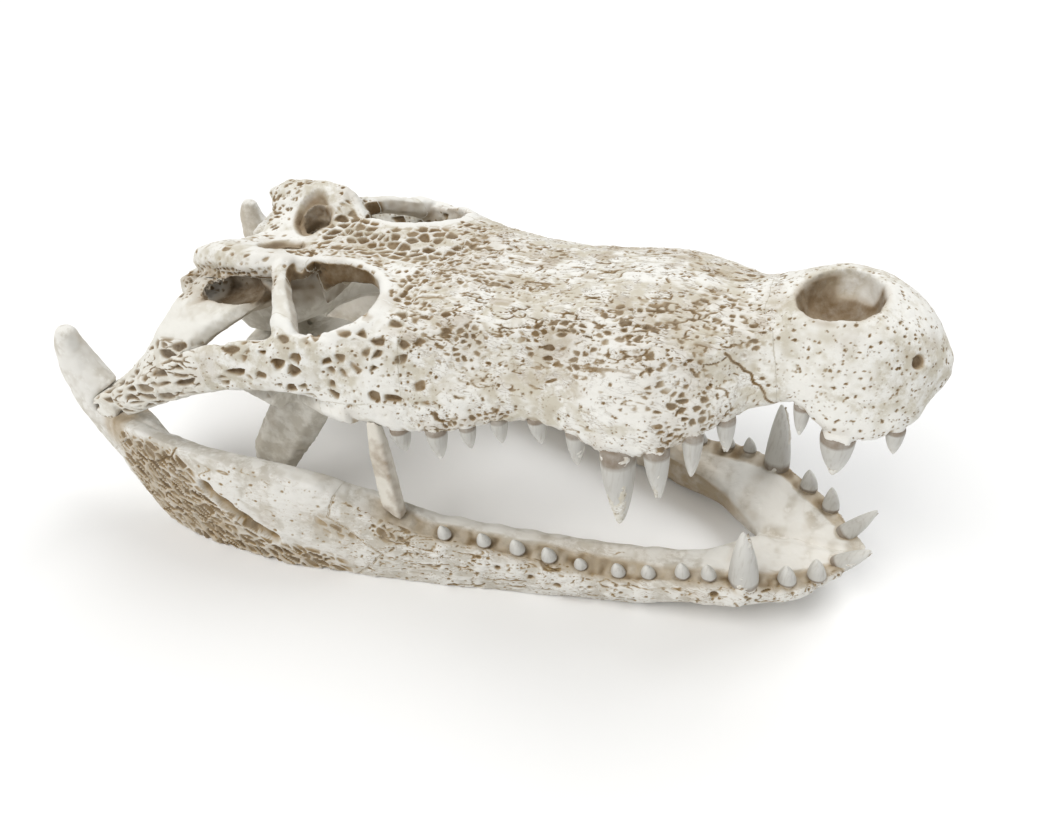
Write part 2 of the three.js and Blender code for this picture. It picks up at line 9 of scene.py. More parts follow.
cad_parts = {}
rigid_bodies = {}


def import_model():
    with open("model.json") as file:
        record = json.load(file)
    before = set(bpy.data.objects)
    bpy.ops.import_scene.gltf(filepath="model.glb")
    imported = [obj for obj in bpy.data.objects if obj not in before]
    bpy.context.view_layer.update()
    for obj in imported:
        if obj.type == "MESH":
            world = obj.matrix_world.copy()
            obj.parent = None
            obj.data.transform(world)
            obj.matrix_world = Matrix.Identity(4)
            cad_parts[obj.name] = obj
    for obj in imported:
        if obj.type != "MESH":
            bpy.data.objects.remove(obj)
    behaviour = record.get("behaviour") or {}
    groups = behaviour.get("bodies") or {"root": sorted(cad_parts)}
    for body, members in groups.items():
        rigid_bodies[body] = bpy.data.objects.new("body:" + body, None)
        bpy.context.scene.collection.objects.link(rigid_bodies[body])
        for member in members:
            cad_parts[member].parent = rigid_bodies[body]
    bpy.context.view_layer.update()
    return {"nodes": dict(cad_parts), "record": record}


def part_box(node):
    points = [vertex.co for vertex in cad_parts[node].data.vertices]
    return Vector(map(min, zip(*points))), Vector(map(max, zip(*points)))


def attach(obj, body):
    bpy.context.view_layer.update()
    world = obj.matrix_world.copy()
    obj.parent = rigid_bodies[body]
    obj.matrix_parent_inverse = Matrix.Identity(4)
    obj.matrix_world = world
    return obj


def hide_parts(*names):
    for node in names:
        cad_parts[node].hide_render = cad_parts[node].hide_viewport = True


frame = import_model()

# The skull is tipped up over the lower jaw, about the jaw joint. Points of the skull are in its own
# millimetres: x from the joint toward the snout, y to the left, z up from the joint.
pose = {
    "jointAlong": -0.256697,
    "jointHeight": 0.1005,
    "gape": 10.4,
}
mesh = {
    "merge": 1e-6,        # points nearer than this are one
    "voxel": 0.00105,     # size of the fine mesh's squares
    "bridge": 0.00022,    # closes the gaps between the bones before the fine mesh is made
    "seam": 0.00010,      # width of the sutures cut again afterwards
    "softRounds": 30,     # smoothing of everything
    "broadRounds": 150,   # more smoothing on the broad faces
    "tipRounds": 260,     # and more again on the tip of the snout
    "crumb": 400,         # cut parts with fewer points than this are dropped
    "creaseAngle": 50,    # edges sharper than this stay sharp
}
gapeAngle = math.radians(pose["gape"])
skullMatrix = Matrix.Translation((pose["jointAlong"], 0, pose["jointHeight"])) @ Matrix.Rotation(-gapeAngle, 4, "Y")
jointPlace = np.array([pose["jointAlong"], 0, 0])
jawMatrix = Matrix.Translation(jointPlace)


def stage(text):
    print("stage:", text, flush=True)


def deselect():
    if bpy.context.mode != "OBJECT":
        bpy.ops.object.mode_set(mode="OBJECT")
    bpy.ops.object.select_all(action="DESELECT")


def selectOnly(*pieces):
    deselect()
    for piece in pieces:
        piece.select_set(True)
    bpy.context.view_layer.objects.active = pieces[0]


def joined(pieces, name):
    selectOnly(*pieces)
    if len(pieces) > 1:
        bpy.ops.object.join()
    piece = bpy.context.view_layer.objects.active
    piece.name = name
    piece.data.name = name
    return piece


def applied(piece, kind, **values):
    selectOnly(piece)
    modifier = piece.modifiers.new(kind.lower(), kind)
    for key, value in values.items():
        setattr(modifier, key, value)
    bpy.ops.object.modifier_apply(modifier=modifier.name)
    return piece


# Runs one operator in edit mode on the whole of the active piece.
def edited(operator, **values):
    bpy.ops.object.mode_set(mode="EDIT")
    bpy.ops.mesh.select_all(action="SELECT")
    operator(**values)
    bpy.ops.object.mode_set(mode="OBJECT")


def newPiece(name, data):
    piece = bpy.data.objects.new(name, data)
    bpy.context.scene.collection.objects.link(piece)
    return piece


# A copy of a CAD node, with no material.
def nodeCopy(node, name):
    copy = newPiece(name, frame["nodes"][node].data.copy())
    copy.data.materials.clear()
    return copy


# A number for each place along a line of [place, value] pairs, on a smooth curve through them.
def smooth(pairs):
    places, values = np.array(pairs, float).T
    rise = np.empty(len(places))
    rise[1:-1] = (values[2:] - values[:-2]) / (places[2:] - places[:-2])
    rise[0] = (values[1] - values[0]) / (places[1] - places[0])
    rise[-1] = (values[-1] - values[-2]) / (places[-1] - places[-2])

    def at(place):
        p = np.clip(place, places[0], places[-1])
        i = np.clip(np.searchsorted(places, p, side="right") - 1, 0, len(places) - 2)
        span = places[i + 1] - places[i]
        t = (p - places[i]) / span
        ease = t * t * (3 - 2 * t)
        lean = rise[i] * t * (1 - t) ** 2 - rise[i + 1] * t * t * (1 - t)
        return values[i] + (values[i + 1] - values[i]) * ease + lean * span
    return at


def ramp(low, high, value):
    t = np.clip((value - low) / (high - low), 0, 1)
    return t * t * (3 - 2 * t)


def hill(value, width):
    return np.exp(-(value / width) ** 2)


# A value from 0 to 1 for each cell of a grid; the same cell always gives the same value.
def chance(i, j, k, salt):
    h = (i * 73856093) ^ (j * 19349663) ^ (k * 83492791) ^ (salt * 2971215073)
    h &= 0xFFFFFFFF
    h ^= h >> 15
    h = (h * 2246822519) & 0xFFFFFFFF
    h ^= h >> 13
    h = (h * 3266489917) & 0xFFFFFFFF
    return ((h ^ (h >> 16)) & 0xFFFFFF) / 0xFFFFFF


# Distances to the nearest two of the spots, one in each unit cell, and the nearest spot's own chance value.
def spots(points, salt):
    base = np.floor(points).astype(np.int64)
    first = np.full(len(points), 9.0)
    second = np.full(len(points), 9.0)
    luck = np.zeros(len(points))
    for step in itertools.product((-1, 0, 1), repeat=3):
        i, j, k = (base + np.array(step)).T
        spot = np.stack([i + 0.1 + 0.8 * chance(i, j, k, salt),
                         j + 0.1 + 0.8 * chance(i, j, k, salt + 1),
                         k + 0.1 + 0.8 * chance(i, j, k, salt + 2)], 1)
        gap = np.linalg.norm(points - spot, axis=1)
        closer = gap < first
        second = np.where(closer, first, np.minimum(second, gap))
        first = np.where(closer, gap, first)
        luck = np.where(closer, chance(i, j, k, salt + 3), luck)
    return first, second, luck


# Soft noise from -1 to 1.
def cloud(points, salt):
    base = np.floor(points).astype(np.int64)
    part = points - base
    part = part * part * (3 - 2 * part)
    total = np.zeros(len(points))
    for step in itertools.product((0, 1), repeat=3):
        i, j, k = (base + np.array(step)).T
        share = np.prod(np.where(np.array(step), part, 1 - part), axis=1)
        total += share * chance(i, j, k, salt)
    return 2 * total - 1


# Round pits, 1 at the deepest, one in each cell of a given size.
def pits(points, size, salt, small=0.22, large=0.46, soft=0.13):
    gap, _, luck = spots(points / np.array(size), salt)
    radius = small + (large - small) * luck
    return ramp(radius + soft, radius - soft, gap)


# Pits that crowd together with thin walls between them; only some of the cells are sunk.
def comb(points, size, salt, share=0.8, thin=0.07, thick=0.30):
    first, second, luck = spots(points / np.array(size), salt)
    return ramp(thin, thick, second - first) * np.where(luck < share, 0.72 + 0.28 * luck / share, 0)


# Thin creases that run on and fade out.
def creases(points, size, salt, width=0.10):
    line = np.abs(cloud(points / np.array(size), salt))
    broken = ramp(-0.15, 0.3, cloud(points / (np.array(size) * 1.4), salt + 5))
    return ramp(width, 0.0, line) * broken


# Depth and darkness of several patterns, each worked out only where its weight shows.
def sunken(rows):
    depth = pit = 0
    for weight, deep, place, make, *values in rows:
        shape = np.zeros(len(place))
        shown = weight > 0.02
        if shown.any():
            shape[shown] = make(place[shown], *values)
        depth = np.maximum(depth, shape * weight * deep)
        pit = np.maximum(pit, shape * ramp(0.08, 0.55, weight))
    return depth, pit


# The strongest of the stains and painted shades on each point, from pairs of a mask and its weight.
def strongest(*stains):
    return np.maximum.reduce([weight * mask for mask, weight in stains])


# Distance along a bent line, sideways from it and straight to it, in two of the three directions.
def besideLine(across, upward, line):
    ends = np.array(line, float)
    nearest = np.full(len(across), 1e9)
    side = np.zeros(len(across))
    along = np.zeros(len(across))
    start = 0.0
    for (a0, b0), (a1, b1) in zip(ends[:-1], ends[1:]):
        length = math.hypot(a1 - a0, b1 - b0)
        way = np.array([(a1 - a0) / length, (b1 - b0) / length])
        t = np.clip((across - a0) * way[0] + (upward - b0) * way[1], 0, length)
        offA, offB = across - a0 - t * way[0], upward - b0 - t * way[1]
        gap = np.hypot(offA, offB)
        closer = gap < nearest
        nearest = np.where(closer, gap, nearest)
        side = np.where(closer, offB * way[0] - offA * way[1], side)
        along = np.where(closer, start + t, along)
        start += length
    return along, side, nearest


def readMesh(piece):
    count = len(piece.data.vertices)
    points = np.empty(count * 3, np.float32)
    normals = np.empty(count * 3, np.float32)
    piece.data.vertices.foreach_get("co", points)
    piece.data.vertex_normals.foreach_get("vector", normals)
    return points.reshape(-1, 3).astype(float), normals.reshape(-1, 3).astype(float)


def writeMesh(piece, points, **layers):
    piece.data.vertices.foreach_set("co", points.astype(np.float32).ravel())
    for name, values in layers.items():
        layer = piece.data.attributes.get(name) or piece.data.attributes.new(name, "FLOAT", "POINT")
        layer.data.foreach_set("value", np.clip(values, 0, 1).astype(np.float32))
    piece.data.update()


# Points of the scene, in metres, to the skull's and the lower jaw's own millimetres.
def toSkull(points, turnOnly=False):
    turn = np.array(skullMatrix.inverted().to_3x3())
    if turnOnly:
        return points @ turn.T
    return (points - np.array(skullMatrix.translation)) @ turn.T * 1000


def toJaw(points):
    return (points - jointPlace) * 1000


# One closed fine mesh from copies of the CAD nodes.
def fineCopy(nodes, name):
    piece = joined([nodeCopy(node, node) for node in nodes], name)
    edited(bpy.ops.mesh.remove_doubles, threshold=mesh["merge"])
    applied(piece, "DISPLACE", strength=mesh["bridge"], mid_level=0)
    applied(piece, "REMESH", mode="VOXEL", voxel_size=mesh["voxel"])
    return piece


# Smooths the facets away: gently everywhere, and far more where a mask is near 1.
def soften(piece, **masks):
    applied(piece, "SMOOTH", factor=0.5, iterations=mesh["softRounds"])
    for name, mask in masks.items():
        group = piece.vertex_groups.new(name=name)
        levels = np.round(mask * 10).astype(int)
        for level in range(1, 11):
            group.add(np.nonzero(levels == level)[0].tolist(), level / 10, "REPLACE")
        applied(piece, "SMOOTH", factor=0.5, iterations=mesh[name + "Rounds"], vertex_group=name)
    piece.vertex_groups.clear()


# Half width and margin of each jaw by the place along it, and its teeth, in millimetres.
upperJaw = {
    "halfWidth": smooth([
        [150, 105], [200, 104], [242, 98], [276, 91], [300, 84], [330, 78], [350, 78], [388, 84],
        [402, 83], [425, 73], [445, 59], [462, 44], [474, 40], [488, 42], [506, 46], [524, 45],
        [540, 38], [552, 29], [560, 19], [565, 6]]),
    "margin": smooth([
        [150, 14], [178, 8], [206, -4], [222, -16], [263, -20], [294, -17], [312, -13], [345, -15],
        [365, -23], [388, -31], [405, -27], [425, -19], [452, -11], [468, -6], [480, -3], [494, -16],
        [512, -26], [535, -22], [552, -14], [565, -3]]),
    "inset": 6,
    # place, length and width of each tooth
    "teeth": [
        [538, 17, 11], [508, 29, 22], [487, 21, 11], [446, 24, 12], [429, 31, 14], [409, 37, 16],
        [385, 55, 23], [357, 26, 14], [331, 20, 12], [306, 19, 12], [285, 18, 12], [264, 24, 16],
        [239, 19, 14], [207, 9, 10]],
    "lean": (-0.07, 0.06, -1),
}
lowerJaw = {
    "halfWidth": smooth([
        [0, 130], [25, 139], [73, 145], [133, 145], [186, 136], [239, 123], [311, 104], [353, 95],
        [390, 88], [425, 81], [455, 76], [476, 70], [492, 62], [508, 52], [524, 39], [537, 25], [547, 6]]),
    "margin": smooth([
        [0, 80], [16, 90], [90, 93], [141, 92], [186, 88], [207, 80], [232, 60], [274, 47], [300, 44],
        [342, 38], [370, 34], [395, 34], [415, 38], [436, 44], [460, 48], [482, 47], [505, 43],
        [524, 42], [537, 43], [547, 42]]),
    "inset": 10,
    "teeth": [
        [272, 9, 10], [299, 9, 10], [322, 10, 11], [344, 10, 11], [366, 7, 9], [392, 9, 10], [412, 9, 10],
        [434, 11, 10], [451, 11, 10], [473, 51, 19], [500, 15, 12], [518, 17, 12]],
    "lean": (-0.08, 0.12, 1),
    "front": {"root": (532, 15, 40), "lean": (0.7, 0.2, 1), "length": 29, "width": 12.5},
}


def onSide(place, side):
    return Vector((place[0], side * place[1], place[2]))


# Root point, direction, length and width of every tooth on one side of a jaw.
def toothPlaces(jaw, side):
    places = []
    lean = onSide(jaw["lean"], side).normalized()
    for along, length, width in jaw["teeth"]:
        across = side * (float(jaw["halfWidth"](along)) - jaw["inset"])
        places.append((Vector((along, across, float(jaw["margin"](along)))), lean, length, width))
    if "front" in jaw:
        front = jaw["front"]
        way = onSide(front["lean"], side).normalized()
        places.append((onSide(front["root"], side), way, front["length"], front["width"]))
    return places


# The bone round the teeth: a raised socket rim, a dark gap against the tooth, and the bulge of its root.
def socketRelief(points, jaw):
    lift = np.zeros(len(points))
    gapMask = np.zeros(len(points))
    for root, way, _, width in toothPlaces(jaw, 1) + toothPlaces(jaw, -1):
        near = (np.abs(points[:, 0] - root.x) < width + 8) & (points[:, 1] * root.y > 0)
        offset = points[near] - np.array(root)
        along = offset @ np.array(way)
        off = np.linalg.norm(offset - along[:, None] * np.array(way), axis=1)
        rim = hill(off - width * 0.5 - 2.4, 1.5) * ramp(-9, -3, along) * ramp(9, 4, along)
        crack = hill(off - width * 0.5 - 0.2, 1.0) * ramp(-8, -2, along) * ramp(10, 4, along)
        bulge = hill(offset[:, 0], width * 0.55) * hill(along + 12, 11) * min(width / 16, 1.2)
        lift[near] += 0.5 * rim - 0.7 * crack + 1.6 * bulge
        gapMask[near] = np.maximum(gapMask[near], crack)
    return lift, gapMask


# Relief of the skull, in its own millimetres.
skullRelief = {
    "honeycomb": 2.5,    # depths
    "creases": 1.2,
    "clusters": 1.9,
    "small": 0.9,
    "cheekPits": 3.2,
    "rough": 0.3,
    "eyeRim": 1.8,
    "knob": 2.0,
    "earDepth": 3.0,
    "holeDepth": 4.5,
    "nerveHoleDepth": 2.8,
    "seamDepth": 0.6,
    "orbit": (187, 62, 41, 31),            # centre and half sizes of the eye openings
    "hollow": (502, -6, 49),               # middle of the nostril
    "upperHole": (124, 21, 12, 16),        # centre and half sizes of the holes in the skull table
    "nerveHoles": [(546, -28, 24), (549, 24, 22)],
    # the line where the tip's bone is cut off, seen from above, and the jagged one drawn on its side
    "noseParting": [(488, -60), (474, -44), (462, -18), (462, 18), (474, 44), (488, 60)],
    "noseSuture": [(478, -14), (472, -5), (464, 9), (454, 23), (448, 29)],
    # centres and reaches of the crowded pits on the snout, across from the middle
    "crowds": [(430, 24, 20, 16), (395, 44, 26, 15), (352, 58, 26, 12), (420, 64, 20, 16), (455, 30, 14, 10),
               (280, 66, 22, 10), (300, 22, 30, 8), (268, 12, 16, 26)],
}


def carveSkull(piece):
    points, normals = readMesh(piece)
    p = toSkull(points)
    n = toSkull(normals, turnOnly=True)
    x, y, z = p.T
    side = np.abs(y)
    sign = np.sign(y)
    up = n[:, 2]
    outward = n[:, 1] * sign
    outer = ramp(-0.35, 0.1, np.maximum(up, outward))
    outer = np.maximum(outer, ramp(0.2, 0.7, n[:, 0]) * ramp(470, 500, x))
    patch = cloud(p / 22, 11)
    warp = np.stack([cloud(p / 14, 21), cloud(p / 14, 22), cloud(p / 14, 23)], 1)

    orbitX, orbitY, orbitLong, orbitWide = skullRelief["orbit"]
    ring = (np.hypot((x - orbitX) / orbitLong, (side - orbitY) / orbitWide) - 1) * 35
    orbitRim = hill(ring - 3, 4) * ramp(-0.1, 0.4, up) * ramp(36, 46, z)

    # where each kind of surface lies
    roof = ramp(282, 240, x) * ramp(66, 56, side) * ramp(44, 54, z) * outer
    roof = np.maximum(roof, ramp(62, 66, z) * ramp(166, 158, x) * outer) * (1 - 0.85 * orbitRim)
    tableEdge = ramp(50, 55, side) * ramp(158, 150, x) * ramp(60, 66, z) * ramp(78, 70, z) * outer
    cheek = ramp(60, 70, side) * ramp(285, 245, x) * ramp(90, 116, x) * ramp(-6, 4, z) * outer * (1 - 0.7 * orbitRim)
    bar = ramp(134, 142, x) * ramp(188, 180, x) * ramp(40, 46, z) * ramp(104, 97, side) * ramp(52, 58, side)
    cheek *= 1 - bar
    roof *= (1 - bar) * (1 - ramp(3.0, 0.5, ring) * ramp(0.7, 0.4, up))
    holeX, holeY, holeLong, holeWide = skullRelief["upperHole"]
    holeGap = np.hypot((x - holeX) / holeLong, (side - holeY) / holeWide)
    roof *= 1 - 0.75 * ramp(1.9, 1.4, holeGap)
    roof *= 1 - 0.6 * ramp(-28, -40, y) * ramp(162, 150, x)
    band = hill(y - 10, 24) * ramp(126, 142, x) * ramp(272, 256, x + 8 * patch)
    cheek *= 1 - ramp(132, 120, x) * ramp(39, 45, z)
    cheekRear = ramp(98, 112, side) * ramp(128, 105, x) * ramp(50, 43, z) * outer
    snout = ramp(228, 262, x) * ramp(474, 462, x) * outer
    snoutTop = snout * ramp(0.35, 0.75, up)
    snoutSide = snout * ramp(0.85, 0.45, up)
    nose = ramp(462, 474, x) * outer
    hollowX, hollowY, _ = skullRelief["hollow"]
    flat = np.hypot(x - hollowX, (y - hollowY) * 25 / 28)
    nose *= 1 - ramp(27, 23, flat) * ramp(20, 30, z)
    crowded = np.zeros(len(p))
    for crowdX, crowdY, long, wide in skullRelief["crowds"]:
        crowded = np.maximum(crowded, hill(x - crowdX, long) * hill(side - crowdY, wide))
    crowded *= snout * ramp(-0.7, 0.2, patch + 0.4)
    blotch = 0.6 + 0.4 * cloud(p / 6, 156)
    ear = ramp(82, 90, x + 5 * patch) * ramp(142, 132, x) * ramp(45, 49, side) * ramp(42, 48, z) * ramp(68, 64, z)
    ear *= ramp(84, 68, side + 0.35 * (x - 110) + 6 * blotch)
    margin = z - upperJaw["margin"](x)
    edge = hill(margin - 7, 6) * snoutSide * ramp(-0.1, 0.4, patch)

    often = ramp(-0.45, 0.15, patch)
    seldom = ramp(0.0, 0.5, patch)
    turned = p + 2.2 * warp
    honeycomb, crease, small = (skullRelief[key] for key in ("honeycomb", "creases", "small"))
    depth, pit = sunken([
        (roof * band, honeycomb, turned, comb, (9.0, 7.6, 7.6), 31, 0.9, 0.08, 0.28),
        (roof * (1 - band) * often, honeycomb * 0.8, turned, comb, (6.6, 5.4, 5.4), 36, 0.62, 0.12, 0.36),
        (roof * (1 - 0.5 * often) * (1 - band), honeycomb * 0.6, turned, comb, 4.0, 41, 0.42, 0.12, 0.42),
        (tableEdge, 1.5, turned, comb, 3.8, 46, 0.7, 0.1, 0.4),
        (snoutTop * 0.9, crease, turned, creases, (19, 3.6, 3.6), 51),
        (snoutTop, crease * 0.9, turned, creases, (11, 2.7, 2.7), 56, 0.12),
        (snoutSide * (0.3 + 0.6 * seldom), crease, turned, creases, (9, 5, 3.4), 61, 0.11),
        (crowded, skullRelief["clusters"], turned, comb, (6.4, 4.0, 4.0), 66, 0.62, 0.1, 0.42),
        (edge, 1.1, turned, comb, (4.6, 4.6, 3.8), 68, 0.55, 0.1, 0.45),
        (np.maximum(snoutSide * 0.9, 0.4 * roof), small, turned, pits, 4.6, 71, 0.03, 0.26, 0.09),
        (np.maximum(snoutTop * 0.5, cheek * 0.8), small, turned, pits, 3.6, 76, 0.0, 0.28, 0.1),
        (nose, 0.9, turned, pits, 5.2, 81, 0.02, 0.21, 0.08),
        (nose * (0.6 + 0.4 * seldom), 0.7, turned, pits, 3.1, 86, -0.05, 0.3, 0.12),
        (cheek * ramp(140, 162, x), skullRelief["cheekPits"], turned, comb, (10, 8, 8), 91, 0.5, 0.14, 0.5),
        (np.maximum(cheek * ramp(165, 145, x), cheekRear), skullRelief["cheekPits"], turned,
         comb, (17, 7.5, 6.5), 101, 0.72, 0.1, 0.4),
        (cheekRear * 0.8, 0.8, turned, creases, (14, 4, 4), 106),
    ])

    # broad waves, ridges between the grooves and a rough skin
    lift = 0.9 * cloud(p / 26, 111) * outer + 0.4 * cloud(p / 9, 121) + skullRelief["rough"] * cloud(p / 3.2, 131)
    streak = 1 - np.abs(cloud((p + 4 * warp) / (16, 3.2, 3.2), 141))
    lift += 0.6 * (ramp(0.55, 1.0, streak) - 0.3) * np.maximum(snoutTop, 0.4 * snoutSide)
    lift += 0.5 * cloud(p / 5.5, 151) * roof

    # thick rims round the eye openings, knobs beside the snout's notch
    lift += skullRelief["eyeRim"] * orbitRim
    lift += skullRelief["knob"] * hill(x - 392, 26) * hill(side - 74, 16) * ramp(0.0, 0.5, up)

    sockets, gapMask = socketRelief(p, upperJaw)
    lift += sockets

    # nerve holes in the tip of the snout
    for hole in skullRelief["nerveHoles"]:
        gap = np.linalg.norm(p - np.array(hole), axis=1)
        well = ramp(5.2, 3.0, gap)
        lift -= skullRelief["nerveHoleDepth"] * well
        pit = np.maximum(pit, well)

    # the jagged line between the snout's tip and its sides
    along, aside, reach = besideLine(x, z, skullRelief["noseSuture"])
    jag = 1.5 * cloud(np.stack([along / 4.5, sign, sign], 1), 157)
    seam = ramp(1.1, 0.2, np.abs(aside - jag)) * ramp(5, 3, reach) * ramp(30, 36, side) * outer
    lift -= skullRelief["seamDepth"] * seam
    pit = np.maximum(pit, seam)

    # where brown stain lies, where the hollows are darkened, and painted shade on faces that turn down
    well = ramp(27.5, 25, flat) * ramp(12, 18, z) * ramp(52, 46, z)
    sheet = ramp(4, 10, y) * ramp(494, 502, x + 4 * patch) * ramp(33, 39, z)
    hole = ramp(1.15, 0.75, holeGap + 0.12 * patch) * ramp(60, 66, z)
    underHole = ramp(1.15, 0.9, np.hypot((x - 126) / 16, (side - 20) / 15)) * ramp(86, 80, z) * ramp(45, 52, z)
    inHole = np.maximum(hole, underHole)
    lift -= skullRelief["holeDepth"] * hole * ramp(0.2, 0.6, up) + skullRelief["earDepth"] * ear
    # the walls in and beside the eye openings are darkened brown, and also count as pits
    innerWall = ramp(196, 180, x) * ramp(104, 112, x) * ramp(48, 42, side) * ramp(22, 34, z) * ramp(70, 64, z)
    orbitWall = ramp(9.0, 5.0, ring) * ramp(0.6, 0.3, up) * ramp(10, 30, z) * ramp(226, 204, x) * ramp(66, 58, side)
    pit = np.maximum(pit, orbitWall * (0.45 + 0.4 * blotch))
    farWall = ramp(4.0, 1.0, ring) * ramp(-0.1, -0.4, outward) * ramp(30, 42, z) * ramp(60, 68, side)
    # painted shade: the faces that turn down under the roof, and the inner faces that turn down, take the brown
    undersideShade = ramp(0.0, -0.5, up) * ramp(20, 40, z) * ramp(230, 200, x)
    inside = ramp(0.05, -0.35, up) * (1 - outer)
    stainAndShade = strongest(
        (ear, 1.0), (well * (1 - 0.85 * sheet) * (0.72 + 0.28 * blotch), 1.0), (inHole * (0.7 + 0.3 * blotch), 1.0),
        (orbitWall, 1.0), (farWall * blotch, 0.8), (innerWall * blotch, 0.95),
        (undersideShade * (0.5 + 0.5 * blotch), 0.85), (gapMask, 0.9), (edge * blotch, 0.6), (tableEdge * blotch, 0.85),
        (crowded * blotch, 0.5), (roof * blotch * often, 0.22),
        (snoutTop * ramp(0.2, 0.6, cloud(p / (16, 7, 7), 158)), 0.5),
        (ramp(0.2, 0.8, cloud(p / 15, 161)), 0.22), (inside, 0.32))

    lift -= depth
    points += normals * (lift / 1000)[:, None]
    ridge = ramp(0.0, 0.8, lift + 0.25) * (1 - pit)
    # the stain layer carries the painted shade as well as the stains
    writeMesh(piece, points, pit=pit, stain=stainAndShade, ridge=ridge, creased=np.maximum(snoutTop, 0.5 * snoutSide),
              porous=np.maximum(np.maximum(nose, snoutSide), 0.6 * np.maximum(cheek, roof)))


# Relief of the lower jaw, in millimetres forward from the joint and up from the floor.
jawRelief = {
    "honeycomb": 1.9,    # depths
    "lines": 0.8,
    "small": 0.8,
    "windowDepth": 5.5,
    "windowRim": 0.9,
    "windowWide": 7.5,   # half width of the filled window, and the line that it follows
    "window": [(104, 66), (117, 57), (128, 48), (139, 38), (150, 31)],
    # two lines that part bones, one that is only drawn, and how deep and how dark each is
    "sutures": ([(214, 130), (196, 62), (232, 30), (205, -5)], [(34, 130), (26, 76), (4, 56), (-30, 40)]),
    "rearSuture": [(88, 110), (84, 98), (76, 84), (61, 74), (52, 70)],
    "sutureDepths": (0.4, 0.3, 0.7),
    "sutureDarks": (0.6, 0.4, 0.9),
}


